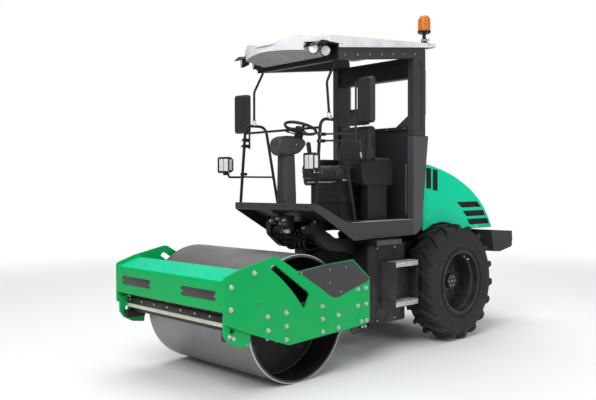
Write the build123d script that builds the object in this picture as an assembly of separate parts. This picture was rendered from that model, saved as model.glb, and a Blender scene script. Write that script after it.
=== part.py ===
"""Single drum road roller with an open roofed platform, in millimetres.

The machine stands on z = 0 and its front points along -Y, so its left side
is +X.  The origin lies under the middle of the machine.  A rear frame with
the operator's platform, engine hood and two lugged tyres carries a front
frame with the smooth steel drum.  Both frames meet at a knuckle that steers
about an upright pin and lets the drum frame roll about a lengthwise shaft.

Outlines are lists of corners: two places and the radius of the bend there.
Lengthwise places count from the drum's axle, or from the tyres' axle.
"""
import math
import os

from build123d import *

# Driving sizes of the whole machine
wheelbase = 2255.0
front_overhang = 780.0
rear_overhang = 1215.0
drum_radius = 510.0
drum_width = 1370.0
tyre_radius = 583.0
tyre_width = 315.0
tyre_track = 1100.0
platform_width = 1074.0

# Running gaps
pin_gap = 0.05
face_gap = 0.5
seat_gap = 0.3
drum_side_gap = 50.0
scraper_gap = 8.0
tyre_room = 32.0
tool_reach = 1.0

# Drum and its bearings
shell_wall = 25.0
shell_bevel = 6.0
web_wall = 20.0
web_inset = 255.0
drum_hub_radius = 150.0
drum_hub_length = 90.0
drum_shaft_radius = 60.0
shaft_seat = 70.0
buffer_radius = 130.0
buffer_waist = 105.0
carrier_plate_length = 440.0
carrier_plate_height = 270.0
carrier_plate_wall = 18.0
carrier_plate_corner = 50.0

# Drum frame
plate_wall = 20.0
plate_bottom = 335.0
plate_front_z = 577.0
beam_wall = 12.0
beam_low = 655.0
beam_bend = 16.0
stripe_depth = 3.0
stripe_low = 730.0
stripe_high = 805.0
stripe_start = 217.0
stripe_end = 650.0
tab_wall = 25.0
tab_hole_radius = 20.0
tab_hole_back = -700.0
tab_hole_height = 518.0
yoke_depth = 100.0
yoke_wall = 15.0
yoke_drop = 120.0
yoke_rise = 160.0
yoke_room = 210.0
plate_lap = 35.0
housing_radius = 125.0
housing_length = 190.0

# Steering knuckle and rear frame fork
pivot_back = 950.0
pivot_height = 540.0
knuckle_height = 300.0
knuckle_radius = 85.0
pin_radius = 40.0
pin_end = 12.0
ear_wall = 45.0
ear_boss_radius = 110.0
roll_shaft_radius = 60.0
roll_collar_radius = 90.0
roll_cap_wall = 20.0
arm_reach = 220.0
arm_lead = 150.0
arm_wall = 20.0
arm_end_radius = 38.0
eye_height = 60.0
eye_radius = 34.0
eye_room = 5.0

# Steering cylinder
cylinder_back = 450.0
barrel_radius = 32.0
barrel_bore = 28.0
barrel_length = 360.0
barrel_start = 40.0
barrel_head = 25.0
rod_radius = 20.0
piston_length = 40.0
piston_place = 200.0

# Rear chassis
chassis_half = 325.0
chassis_wall = 25.0
chassis_lead = 150.0
chassis_top = 1000.0
chassis_pads = 60.0
axle_clearance_top = 690.0
arm_wide = 60.0
axle_radius = 92.0
axle_side_room = 5.0
differential_radius = 165.0
differential_half = 130.0
spindle_radius = 60.0
spindle_length = 110.0
pad_length = 220.0

# Hydraulic valves under the platform's nose
valve_section = 46.0
valve_room = 14.0
valve_count = 5
valve_front = 700.0
valve_rear = 860.0
valve_low = 1040.0
valve_high = 1150.0

# Tanks and steps beside the chassis
tank_outer = 500.0
tank_lead = 50.0
tank_low = 275.0
tank_high = 1010.0
tank_corner = 30.0
shelf_outer = 600.0
shelf_height = 55.0
shelf_length = 360.0
step_outer = 620.0
step_length = 340.0
step_wall = 8.0
step_height = 50.0
step_lap = 40.0
carrier_lead = 145.0
carrier_low = 400.0
lower_step_z = 430.0
upper_step_z = 800.0

# Wheels
rim_radius = 305.0
rim_flange = 22.0
rim_width = 292.0
rim_wall = 10.0
rim_well = 60.0
rim_step = 18.0
disc_inset = 105.0
disc_dish = 35.0
vent_count = 6
vent_radius = 26.0
vent_circle = 215.0
wheel_hub_radius = 105.0
hub_cap_radius = 80.0
hub_cap_length = 70.0
tread_radius = 552.0
shoulder_drop = 26.0
lug_count = 18
lug_width = 34.0
lug_angle = 42.0
lug_start = 14.0
lug_side_gap = 4.0
lug_root = 45.0
lug_flare = 1.3
sidewall_radius = 470.0
bead_width = 250.0

# Platform floor and walls
sheet = 10.0
floor_level = 1230.0
platform_front = 335.0
nose_rise = 178.0
nose_lip = 61.0
ramp_end = 767.0
skirt_drop = 159.0
skirt_low_front = 822.0
wall_front = 1670.0
pillar_width = 72.0
bulkhead_wall = 30.0
bulkhead_back = 30.0
bulkhead_top = 2100.0
ledge_wall = 30.0
seam_height = 2040.0

# Rollover frame and roof
post_depth = 187.0
post_corner = 60.0
groove_depth = 8.0
groove_radius = 45.0
rops_beam_low = 2600.0
rops_beam_high = 2745.0
gusset_wall = 10.0
gusset_length = 165.0
gusset_height = 117.0
rail_depth = 100.0
rail_front = 620.0
roof_lap = 19.0
roof_front = 245.0
roof_rear = 2030.0
roof_front_top = 2806.0
roof_rear_top = 2962.0
roof_wall = 12.0
roof_bow = 255.0
skirt_front = 2735.0
skirt_slope = 0.132
visor_edge = 2720.0
visor_low = 2672.0
visor_rear = 580.0
panel_half = 350.0
panel_rise = 18.0

# Front guard rails
rail_radius = 14.0
hoop_inset = 37.0
hoop_top = 2126.0
hoop_foot_front = 377.0
hoop_foot_rear = 850.0
hoop_peak_front = 475.0
hoop_peak_rear = 640.0
hoop_bend = 55.0
cross_rail_drop = 76.0
bar_radius = 9.0
cross_rail_radius = 11.0
stay_lean = 0.5
hoop_bar_height = 1790.0

# Roof lamps, mirrors, work lamps and flashing lamp
lamp_inner = 385.0
lamp_outer = 545.0
lamp_front = 385.0
lamp_rear = 615.0
lamp_cover_top = 2772.0
lamp_height = 2708.0
lamp_radius = 46.0
lamp_depth = 62.0
lamp_turn = 30.0
mirror_x = 705.0
mirror_y = 655.0
mirror_width = 190.0
mirror_height = 380.0
mirror_depth = 45.0
mirror_centre = 2270.0
mirror_rod_low = 1935.0
mirror_rod_high = 1992.0
work_light_x = 575.0
work_light_y = 263.0
work_light_z = 1753.0
work_light_size = 150.0
beacon_x = 470.0
beacon_back = 1925.0
beacon_radius = 62.0
beacon_height = 290.0

# Operator's seat and controls
seat_centre = 1200.0
seat_half = 250.0
seat_base_height = 390.0
cushion_depth = 130.0
cushion_length = 480.0
back_lap = 60.0
back_height = 470.0
headrest_height = 170.0
console_inner = 275.0
console_outer = 400.0
console_height = 560.0
wheel_rim_radius = 190.0
wheel_rim_wall = 14.0
wheel_tilt = 25.0
wheel_height = 2085.0
wheel_back = 680.0
wheel_shaft_radius = 22.0
wheel_shaft_length = 150.0
pod_half = 130.0
pod_bevel = 14.0
column_half = 95.0

# Hood and counterweight
hood_side_gap = 15.0
hood_arch_gap = 27.0
hood_wall = 12.0
hood_front = 1940.0
hood_low = 1090.0
hood_top = 1785.0
hood_shoulder = 55.0
hood_fall = 0.12
hood_length_behind = 930.0
hood_hinge_radius = 10.0
hood_hinge_lead = 15.0
hood_hinge_drop = 17.0
hood_lug_radius = 24.0
slat_wall = 4.0
slat_pitch = 20.0
weight_half = 600.0
weight_length = 508.0
weight_corner = 90.0

# Derived places
overall_length = front_overhang + wheelbase + rear_overhang
drum_y = -overall_length / 2 + front_overhang
axle_y = drum_y + wheelbase
pivot_y = drum_y + pivot_back
plate_inner = drum_width / 2 + drum_side_gap
plate_outer = plate_inner + plate_wall
ear_top = pivot_height + knuckle_height / 2 + face_gap
ear_bottom = pivot_height - knuckle_height / 2 - face_gap
yoke_low = pivot_height - yoke_drop
yoke_high = pivot_height + yoke_rise
yoke_rear = pivot_back - yoke_room
chassis_front = pivot_back + chassis_lead
chassis_inner = chassis_half - chassis_wall
axle_half = chassis_half + axle_side_room
step_rear = wheelbase - tyre_radius - tyre_room
step_front = step_rear - step_length
tank_front = chassis_front - tank_lead
tank_rear = step_rear - step_lap
platform_half = platform_width / 2
pillar_inner = platform_half - pillar_width
hood_half = pillar_inner - hood_side_gap
hoop_half = platform_half - hoop_inset
roof_half = platform_half + roof_lap
cross_rail_height = hoop_top - cross_rail_drop


def front(y):
    """Lengthwise place counted back from the drum's axle."""
    return drum_y + y


def rear(y):
    """Lengthwise place counted back from the tyres' axle."""
    return axle_y + y


def block(x0, x1, y0, y1, z0, z1):
    """Straight block between two corners."""
    centre = Pos((x0 + x1) / 2, (y0 + y1) / 2, (z0 + z1) / 2)
    return centre * Box(abs(x1 - x0), abs(y1 - y0), abs(z1 - z0))


def side_shape(corners, x0, x1, place=front):
    """Outline seen from the side, with bends, thickened across the machine."""
    points = [(x0, place(y), z) for y, z, bend in corners]
    bends = [bend for y, z, bend in corners]
    edge = FilletPolyline(*points, radius=bends, close=True)
    return extrude(make_face(edge), amount=x1 - x0, dir=(1, 0, 0))


def top_shape(corners, z0, z1):
    """Outline seen from above, with bends, thickened upwards."""
    points = [(x, y, z0) for x, y, bend in corners]
    bends = [bend for x, y, bend in corners]
    edge = FilletPolyline(*points, radius=bends, close=True)
    return extrude(make_face(edge), amount=z1 - z0, dir=(0, 0, 1))


def rod(start, end, radius):
    """Round bar from one point to another."""
    axis = Vector(*end) - Vector(*start)
    plane = Plane(origin=start, z_dir=axis)
    return Solid.make_cylinder(radius, axis.length, plane)


def turned(points):
    """Body turned about the x axis from places along x and radii."""
    outline = [(along, 0, radius) for along, radius in points]
    return revolve(make_face(Polyline(outline, close=True)), Axis.X)


def bent_bar(points, radius, bend):
    """Round bar bent with one radius at each inner point."""
    path = FilletPolyline(*points, radius=bend)
    start = Plane(origin=path @ 0, z_dir=path % 0)
    return sweep(start * Circle(radius), path=path)


def joined(shapes):
    """Touching shapes as one body."""
    total = shapes[0]
    for shape in shapes[1:]:
        total = total + shape
    return total


def mirrored(shape):
    """The same piece on the machine's other side."""
    return mirror(shape, about=Plane.YZ)


def both(shape):
    """A piece and its mirror image."""
    return Compound([shape, mirrored(shape)])


def save(name, shape):
    """Write one piece to its own file."""
    export_step(shape, "parts/" + name + ".step")


# Drum and drum frame


def make_drum():
    """Open steel shell with two inner webs and bearing hubs."""
    half = drum_width / 2
    inner = drum_radius - shell_wall
    shell = turned([
        (-half, inner),
        (-half, drum_radius - shell_bevel),
        (-half + shell_bevel, drum_radius),
        (half - shell_bevel, drum_radius),
        (half, drum_radius - shell_bevel),
        (half, inner),
    ])
    web_inner = half - web_inset - web_wall
    web_outer = half - web_inset
    hub_outer = web_outer + drum_hub_length
    bore_end = hub_outer - shaft_seat
    web = turned([
        (web_inner, 0),
        (web_inner, inner + tool_reach),
        (web_outer, inner + tool_reach),
        (web_outer, drum_hub_radius + web_wall),
        (web_outer + web_wall, drum_hub_radius),
        (hub_outer, drum_hub_radius),
        (hub_outer, drum_shaft_radius),
        (bore_end, drum_shaft_radius),
        (bore_end, 0),
    ])
    return Pos(0, drum_y, drum_radius) * joined([shell, web, mirrored(web)])


def make_carrier():
    """Plate, waisted rubber buffer and stub shaft that carry one drum end."""
    hub_outer = drum_width / 2 - web_inset + drum_hub_length
    inner = plate_inner - carrier_plate_wall
    length, height = carrier_plate_length / 2, carrier_plate_height / 2
    corner = carrier_plate_corner
    plate = side_shape(
        [
            (-length, drum_radius - height, corner),
            (-length, drum_radius + height, corner),
            (length, drum_radius + height, corner),
            (length, drum_radius - height, corner),
        ],
        inner,
        plate_inner,
    )
    start = hub_outer + face_gap
    middle = (start + inner) / 2
    buffer = turned([
        (hub_outer - shaft_seat + face_gap, 0),
        (hub_outer - shaft_seat + face_gap, drum_shaft_radius - pin_gap),
        (start, drum_shaft_radius - pin_gap),
        (start, buffer_radius),
        (start + carrier_plate_wall, buffer_radius),
        (middle, buffer_waist),
        (inner - carrier_plate_wall, buffer_radius),
        (inner + tool_reach, buffer_radius),
        (inner + tool_reach, 0),
    ])
    return plate + Pos(0, drum_y, drum_radius) * buffer


def make_side_plate():
    """Thick steel plate beside the drum, with its long slanted slot."""
    rear_edge = yoke_rear + plate_lap
    plate = side_shape(
        [
            (-front_overhang, plate_front_z, 15),
            (-front_overhang, 904, 30),
            (-607, 962, 150),
            (-290, 1028, 70),
            (-70, 893, 50),
            (234, 924, 0),
            (566, 941, 40),
            (rear_edge, 770, 12),
            (rear_edge, 390, 25),
            (720, 375, 30),
            (-165, plate_bottom, 60),
            (-546, 478, 30),
        ],
        plate_inner,
        plate_outer,
    )
    x = plate_inner - tool_reach
    upper = Polyline((x, front(-350), 936), (x, front(-338), 958), (x, front(-306), 966))
    upper += Line((x, front(-306), 966), (x, front(42), 722))
    upper += Polyline((x, front(42), 722), (x, front(56), 698), (x, front(12), 604), (x, front(-15), 604))
    curved = ThreePointArc((x, front(-15), 604), (x, front(-149), 766), (x, front(-350), 936))
    slot = extrude(make_face(upper + curved), amount=plate_wall + 2 * tool_reach, dir=(1, 0, 0))
    return plate - slot


def make_front_crossmember():
    """Hollow beam across the front, with a sloping top and two long recesses."""
    nose = -front_overhang
    beam = side_shape(
        [
            (nose, beam_low, beam_bend),
            (nose, 878, beam_bend * 2),
            (-556, 946, beam_bend),
            (-545, 900, 0),
            (-640, beam_low, beam_bend),
        ],
        -plate_inner,
        plate_inner,
    )
    hollow = side_shape(
        [
            (nose + beam_wall, beam_low + beam_wall, 0),
            (nose + beam_wall, 870, beam_bend),
            (-568, 930, 0),
            (-560, 902, 0),
            (-648, beam_low + beam_wall, 0),
        ],
        -plate_inner,
        plate_inner,
    )
    beam -= hollow
    y = front(nose)
    for side in (-1, 1):
        beam -= block(side * stripe_start, side * stripe_end, y, y + stripe_depth, stripe_low, stripe_high)
    return beam


def make_rear_crossmember():
    """Box beam behind the drum with the bored housing of the roll shaft."""
    front_face = front(yoke_rear - yoke_depth)
    rear_face = front(yoke_rear)
    beam = block(-plate_inner, plate_inner, front_face, rear_face, yoke_low, yoke_high)
    hollow = block(
        -plate_inner,
        plate_inner,
        front_face + yoke_wall,
        rear_face - yoke_wall,
        yoke_low + yoke_wall,
        yoke_high - yoke_wall,
    )
    end = rear_face + housing_length / 2 - yoke_depth / 2
    start = end - housing_length
    housing = rod((0, start, pivot_height), (0, end, pivot_height), housing_radius)
    bore_start = (0, start - tool_reach, pivot_height)
    bore_end = (0, end + tool_reach, pivot_height)
    bore = rod(bore_start, bore_end, roll_shaft_radius + pin_gap)
    return beam - hollow + housing - bore


def make_front_scraper():
    """Holder, wiper strip and blade ahead of the drum, between the tabs."""
    tip = drum_radius + scraper_gap
    low = math.radians(-4.0)
    tip_y = -tip * math.cos(low)
    tip_z = drum_radius + tip * math.sin(low)
    half = plate_inner - tab_wall
    holder = side_shape(
        [
            (tip_y, tip_z, 0),
            (-600, 470, 20),
            (-672, 496, 6),
            (-680, 500, 0),
            (-680, 525, 0),
            (-692, 525, 4),
            (-692, 590, 4),
            (-680, 590, 0),
            (-680, beam_low, 0),
            (-650, beam_low, 0),
            (-650, 540, 12),
            (-590, 515, 12),
            (tip_y, tip_z + 22, 0),
        ],
        -half,
        half,
    )
    return holder


def make_rear_scraper():
    """Bent blade behind the drum, seated on the rear crossmember."""
    tip = drum_radius + scraper_gap
    high = math.asin((yoke_high + 20 - drum_radius) / tip)
    tip_y = tip * math.cos(high)
    tip_z = drum_radius + tip * math.sin(high)
    seat = yoke_rear - yoke_depth
    wall = beam_wall
    return side_shape(
        [
            (tip_y, tip_z, 0),
            (seat + 10, yoke_high, 0),
            (yoke_rear - 20, yoke_high, 0),
            (yoke_rear - 20, yoke_high + wall, 0),
            (seat + 12, yoke_high + wall, 0),
            (tip_y, tip_z + wall, 0),
        ],
        -plate_inner,
        plate_inner,
    )


def make_tie_tab():
    """Lashing plate under the front corner, with one eye."""
    inner = plate_inner - tab_wall
    tab = side_shape(
        [
            (-765, 625, 0),
            (-765, 490, 20),
            (-730, 440, 20),
            (-650, 394, 25),
            (-536, 378, 15),
            (-526, 520, 0),
            (-560, 625, 0),
        ],
        inner,
        plate_inner,
    )
    y, z = front(tab_hole_back), tab_hole_height
    return tab - rod((inner - tool_reach, y, z), (plate_outer, y, z), tab_hole_radius)


def make_knuckle():
    """Upright pin block with the roll shaft and the steering arm."""
    low = pivot_height - knuckle_height / 2
    high = pivot_height + knuckle_height / 2
    centre = (0, pivot_y)
    body = rod((*centre, low), (*centre, high), knuckle_radius)
    pin_low = ear_bottom - ear_wall - pin_end
    pin_high = ear_top + ear_wall + pin_end
    body += rod((*centre, pin_low), (*centre, pin_high), pin_radius)
    housing_end = front(yoke_rear) + housing_length / 2 - yoke_depth / 2
    housing_start = housing_end - housing_length
    z = pivot_height
    body += rod((0, housing_end + face_gap, z), (0, pivot_y, z), roll_collar_radius)
    body += rod((0, housing_start - face_gap, z), (0, pivot_y, z), roll_shaft_radius)
    cap_start = housing_start - face_gap - roll_cap_wall
    body += rod((0, cap_start, z), (0, housing_start - face_gap, z), roll_collar_radius)
    return body + make_arm()


def make_arm():
    """Two parallel plates that hold the cylinder's rod eye between them."""
    end = (-arm_reach, pivot_y - arm_lead)
    outline = [
        (-20, pivot_y + 60, 0),
        (-80, pivot_y + 30, 0),
        (-arm_reach - 20, end[1] + 32, 0),
        (-arm_reach + 6, end[1] - 37, 0),
        (-60, pivot_y - 70, 0),
        (-20, pivot_y - 70, 0),
    ]
    gap = eye_height / 2 + eye_room
    plates = []
    for low in (pivot_height + gap, pivot_height - gap - arm_wall):
        plates.append(top_shape(outline, low, low + arm_wall))
        plates.append(rod((*end, low), (*end, low + arm_wall), arm_end_radius))
    web_edge = -arm_reach + 90
    web = [
        (-20, pivot_y + 40, 0),
        (-80, pivot_y + 20, 0),
        (web_edge, pivot_y - 30, 0),
        (web_edge, pivot_y - 90, 0),
        (-60, pivot_y - 70, 0),
        (-20, pivot_y - 60, 0),
    ]
    return joined([top_shape(web, pivot_height - gap, pivot_height + gap)] + plates)


def make_barrel():
    """Steering cylinder's tube with its rear eye."""
    x, z = -arm_reach, pivot_height
    base = pivot_y + cylinder_back
    start = base - barrel_start
    end = start - barrel_length
    half = eye_height / 2
    tube = rod((x, start, z), (x, end, z), barrel_radius)
    tube -= rod((x, start - rod_radius, z), (x, end + barrel_head, z), barrel_bore)
    tube -= rod((x, start - rod_radius, z), (x, end - tool_reach, z), rod_radius + pin_gap)
    eye = rod((x, base, z - half), (x, base, z + half), eye_radius)
    neck = rod((x, base, z), (x, start - rod_radius / 2, z), barrel_bore)
    pin_hole = rod((x, base, z - eye_height), (x, base, z + eye_height), rod_radius)
    return tube + eye + neck - pin_hole


def make_rod():
    """Steering cylinder's piston, rod and front eye."""
    x, z = -arm_reach, pivot_height
    base = pivot_y + cylinder_back
    eye_y = pivot_y - arm_lead
    half = eye_height / 2
    piston_end = base - piston_place
    piston = rod((x, piston_end, z), (x, piston_end - piston_length, z), barrel_bore - pin_gap)
    shaft = rod((x, piston_end, z), (x, eye_y, z), rod_radius)
    eye = rod((x, eye_y, z - half), (x, eye_y, z + half), eye_radius)
    return piston + shaft + eye


# Rear frame, axle and wheels


def make_chassis_side():
    """Left chassis plate with the curved arm that reaches under the nose."""
    low = ear_bottom - ear_wall
    start = chassis_front
    axle_front, axle_rear = wheelbase - pad_length, wheelbase + pad_length
    tail = wheelbase + rear_overhang - weight_length
    plate = side_shape(
        [
            (start, low, 30),
            (axle_front - 120, low, 60),
            (axle_front, axle_clearance_top, 40),
            (axle_rear, axle_clearance_top, 0),
            (tail, 780, 0),
            (tail, 1060, 0),
            (axle_rear, chassis_top, 80),
            (start, chassis_top, 0),
        ],
        chassis_inner,
        chassis_half,
    )
    underside = floor_level - sheet
    reach = side_shape(
        [
            (start + 30, 880, 0),
            (930, 950, 120),
            (690, 985, 150),
            (540, 1110, 60),
            (538, underside + 60, 0),
            (ramp_end, underside - 50, 0),
            (ramp_end + 20, underside, 0),
            (ramp_end + 100, underside, 0),
            (ramp_end + 100, 1160, 60),
            (start + 30, chassis_top, 0),
        ],
        chassis_half - arm_wide,
        chassis_half,
    )
    return plate + (reach - make_pan_block())


def make_chassis():
    """Rear frame: side plates, fork ears, cross plates and cylinder pin."""
    low = ear_bottom - ear_wall
    y0 = front(chassis_front)
    axle_front = rear(-pad_length)
    tail = rear(rear_overhang - weight_length)
    inner = chassis_inner + tool_reach
    side = make_chassis_side()
    frame = side + mirrored(side)
    fork = chassis_half - tool_reach
    ear = [
        (-fork, y0 + 420, 0),
        (-fork, y0, 20),
        (-ear_boss_radius, pivot_y + 40, 0),
        (ear_boss_radius, pivot_y + 40, 0),
        (fork, y0, 20),
        (fork, y0 + 420, 0),
    ]
    for z0 in (low, ear_top):
        frame += top_shape(ear, z0, z0 + ear_wall)
        frame += rod((0, pivot_y, z0), (0, pivot_y, z0 + ear_wall), ear_boss_radius)
    frame += block(-inner, inner, y0, y0 + ear_wall / 2, ear_top + tool_reach, chassis_top)
    frame += block(-inner, inner, axle_front - 60, axle_front - 40, 700, chassis_top)
    frame += block(-inner, inner, tail - chassis_wall, tail, 780, 1060)
    hole_low = (0, pivot_y, low - tool_reach)
    hole_high = (0, pivot_y, ear_top + ear_wall + tool_reach)
    frame -= rod(hole_low, hole_high, pin_radius + pin_gap)
    for y1 in (y0 + chassis_pads, front(tank_rear) - chassis_pads):
        for x1 in (-chassis_half, chassis_half - chassis_pads):
            top = floor_level - sheet
            frame += block(x1, x1 + chassis_pads, y1, y1 + chassis_pads, chassis_top - 1, top)
    x, y = -arm_reach, pivot_y + cylinder_back
    post_top = pivot_height - eye_height / 2 - face_gap
    frame += rod((x, y, low + 1), (x, y, post_top), eye_radius)
    frame += rod((x, y, low + 1), (x, y, ear_top + 1), rod_radius - pin_gap)
    return frame + make_valve_bank()


def make_valve_bank():
    """Row of hydraulic valve sections on a bracket between the front arms."""
    section, room, count = valve_section, valve_room, valve_count
    y0, y1 = front(valve_front), front(valve_rear)
    low, high = valve_low, valve_high
    half = chassis_half - arm_wide + tool_reach
    bank = [block(-half, half, y0 - 20, y1 + 20, low - 12, low)]
    first = -(section + room) * count / 2
    for index in range(count):
        x = first + (section + room) * index
        bank.append(block(x, x + section, y0, y1, low - 1, high))
        bank.append(rod((x + section / 2, y0 - 35, high - 40), (x + section / 2, y0 + 1, high - 40), 16))
    bank.append(block(first, -first, y0 + 30, y1 - 30, low - 1, high - 25))
    return joined(bank)


def make_axle():
    """Axle housing with a differential, spring pads and two wheel spindles."""
    end = axle_half + spindle_length
    spindle = spindle_radius - pin_gap
    bulge = differential_radius
    housing = turned([
        (-end, 0),
        (-end, spindle),
        (-axle_half, spindle),
        (-axle_half, axle_radius),
        (-differential_half, axle_radius + 20),
        (-differential_half / 2, bulge),
        (differential_half / 2, bulge),
        (differential_half, axle_radius + 20),
        (axle_half, axle_radius),
        (axle_half, spindle),
        (end, spindle),
        (end, 0),
    ])
    axle = Pos(0, axle_y, tyre_radius) * housing
    pad = block(
        chassis_inner - 30,
        chassis_half,
        rear(-pad_length / 2),
        rear(pad_length / 2),
        tyre_radius,
        axle_clearance_top,
    )
    return axle + pad + mirrored(pad)


def make_tank():
    """Tank beside the chassis with a shelf above it and a lowered skirt."""
    y0, y1 = front(tank_front), front(tank_rear)
    inner = chassis_half + seat_gap
    body = side_shape(
        [
            (tank_front, tank_low + 20, 20),
            (tank_front, tank_high, 20),
            (tank_rear, tank_high, 20),
            (tank_rear, tank_low, 40),
            (tank_front + 80, tank_low, 20),
        ],
        inner,
        tank_outer,
    )
    edges = block(inner, tank_outer, y0, y1, tank_low - tool_reach, tank_high + tool_reach)
    edges = fillet(edges.edges().filter_by(Axis.Z).group_by(Axis.X)[-1], tank_corner)
    shelf = block(inner, shelf_outer, y0, y0 + shelf_length, tank_high, tank_high + shelf_height)
    shelf = fillet(shelf.edges().filter_by(Axis.Z).group_by(Axis.X)[-1], step_wall)
    return (body & edges) + shelf


def make_steps():
    """Two treads on a bent carrier plate bolted to the tank."""
    y_tread = front(step_front)
    y1 = front(step_rear)
    y_start = front(tank_front) + tank_corner
    x0 = tank_outer
    wing = front(step_front - carrier_lead)
    top = upper_step_z + step_height
    plate_end = front(tank_rear) - tank_corner
    carrier = block(x0, x0 + step_wall, y_start, plate_end, carrier_low, top)
    outer = step_outer - step_wall
    wing_plate = [
        (x0, wing, 0),
        (x0 + step_wall, wing, 0),
        (outer, y_tread - step_wall, 12),
        (outer, y_tread + tool_reach, 0),
        (outer - step_wall, y_tread + tool_reach, 0),
        (outer - step_wall, y_tread - step_wall, 6),
        (x0, wing + 12, 0),
    ]
    carrier += top_shape(wing_plate, carrier_low, top)
    for z0 in (lower_step_z, upper_step_z):
        tread = block(x0, step_outer, y_tread, y1, z0, z0 + step_height)
        tread -= block(
            x0,
            step_outer - step_wall,
            y_tread + step_wall,
            y1 - step_wall,
            z0 - tool_reach,
            z0 + step_height - step_wall,
        )
        carrier += tread
    return carrier


def make_tyre():
    """Farm type tyre with slanted lugs, on the left wheel."""
    half = tyre_width / 2
    bead = bead_width / 2
    side = half - 12
    shoulder = tread_radius - shoulder_drop
    profile = [
        (-bead, rim_radius),
        (-half, sidewall_radius),
        (-side, shoulder),
        (-side + 40, tread_radius),
        (side - 40, tread_radius),
        (side, shoulder),
        (half, sidewall_radius),
        (bead, rim_radius),
    ]
    tyre = turned(profile)
    lugs = []
    for index in range(lug_count):
        for hand in (-1, 1):
            turn = 360.0 / lug_count * (index + 0.25 * (hand + 1))
            lugs.append(Rot(turn, 0, 0) * make_lug(hand))
    return Pos(tyre_track / 2, axle_y, tyre_radius) * (tyre + lugs)


def make_lug(hand):
    """One slanted tread bar, flat on top, down over the shoulder."""
    end = hand * (tyre_width / 2 - lug_side_gap)
    start = -hand * lug_start
    run = abs(end - start) * math.tan(math.radians(lug_angle))
    wide = lug_width / 2
    wide_end = wide * lug_flare
    low = tread_radius - lug_root
    top = math.sqrt(tyre_radius**2 - (run / 2 + wide_end)**2)
    outline = [
        (start, -run / 2 - wide, low),
        (end, run / 2 - wide_end, low),
        (end, run / 2 + wide_end, low),
        (start, -run / 2 + wide, low),
    ]
    face = make_face(Polyline(outline, close=True))
    return extrude(face, amount=top - low, dir=(0, 0, 1))


def make_rim():
    """Deep dished rim with its vented disc and final drive, left side."""
    half = rim_width / 2
    inner = rim_radius - rim_wall
    outer = rim_radius - seat_gap
    lip = rim_radius + rim_flange
    disc = -half + disc_inset
    hub = axle_half - tyre_track / 2 + face_gap
    barrel = turned([
        (-half, inner),
        (-half, lip),
        (-half + rim_wall, lip),
        (-half + rim_wall, outer),
        (half - rim_wall, outer),
        (half - rim_wall, lip),
        (half, lip),
        (half, inner),
        (half - rim_well, inner),
        (half - rim_well - rim_step, inner - rim_step),
        (-half + rim_well + rim_step, inner - rim_step),
        (-half + rim_well, inner),
    ])
    plate = turned([
        (disc, wheel_hub_radius - 10),
        (disc, wheel_hub_radius + 50),
        (disc - disc_dish, inner - rim_step - 4),
        (disc - disc_dish + rim_wall, inner - rim_step + 4),
        (disc + rim_wall, wheel_hub_radius + 55),
        (disc + rim_wall, wheel_hub_radius - 10),
    ])
    bore_end = axle_half + spindle_length + face_gap - tyre_track / 2
    cap = disc + hub_cap_length
    centre = turned([
        (hub, spindle_radius),
        (hub, wheel_hub_radius),
        (disc + 30, wheel_hub_radius),
        (disc + 35, hub_cap_radius),
        (cap, hub_cap_radius - 8),
        (cap, 0),
        (bore_end, 0),
        (bore_end, spindle_radius),
    ])
    for index in range(vent_count):
        turn = 2 * math.pi * (index + 0.5) / vent_count
        y, z = vent_circle * math.cos(turn), vent_circle * math.sin(turn)
        plate -= rod((disc - 60, y, z), (disc + 40, y, z), vent_radius)
    return Pos(tyre_track / 2, axle_y, tyre_radius) * joined([barrel, plate, centre])


# Platform


def pan_corners(drop):
    """Platform's side outline, moved inward by drop."""
    fall = drop * 1.15
    high = floor_level + nose_rise
    return [
        (platform_front + drop, high - nose_lip, 0),
        (platform_front + drop, high - fall, 8),
        (366, high - 8 - fall, 0),
        (510, floor_level + 108 - fall, 0),
        (696, floor_level + 20 - fall, 0),
        (ramp_end, floor_level - drop, 0),
        (wall_front, floor_level - drop, 0),
        (wall_front, floor_level - skirt_drop + 12, 0),
        (skirt_low_front, floor_level - skirt_drop, 0),
    ]


def make_pan_block():
    """Platform's outline as one solid, for cutting what meets its floor."""
    return side_shape(pan_corners(0), -platform_half, platform_half)


def make_floor():
    """Bent floor pan: nose, ramp, flat floor and side skirts."""
    inner = platform_half - sheet
    pan = make_pan_block()
    pan = fillet(pan.edges().filter_by(Axis.Z).group_by(Axis.Y)[0], sheet)
    hollow = side_shape(pan_corners(sheet), -inner, inner)
    low = floor_level - skirt_drop - tool_reach
    below = [
        (platform_front + sheet, floor_level + nose_rise - nose_lip + tool_reach, 0),
        (wall_front + tool_reach, floor_level - 120, 0),
        (wall_front + tool_reach, low - 70, 0),
        (platform_front + sheet, low - 70, 0),
    ]
    return pan - hollow - side_shape(below, -inner, inner)


def make_pillar():
    """Boxed lower corner panel behind the entrance, left side."""
    low = floor_level - skirt_drop + 12
    pillar = side_shape(
        [
            (wall_front, low, 0),
            (1712, low, 0),
            (1802, low + 59, 10),
            (1889, 1907, 0),
            (1905, seam_height, 0),
            (wall_front, seam_height, 0),
        ],
        pillar_inner,
        platform_half,
    )
    y, z = hood_hinge()
    wall = hood_side_gap
    grow = hood_lug_radius
    ear = block(pillar_inner, pillar_inner + wall, front(1850), y, z - grow, z + grow)
    ear += rod((pillar_inner, y, z), (pillar_inner + wall, y, z), grow)
    pin_start = (hood_half - hood_wall - 4, y, z)
    pin = rod(pin_start, (pillar_inner + wall / 2, y, z), hood_hinge_radius - pin_gap)
    return joined([pillar, ear, pin])


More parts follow.
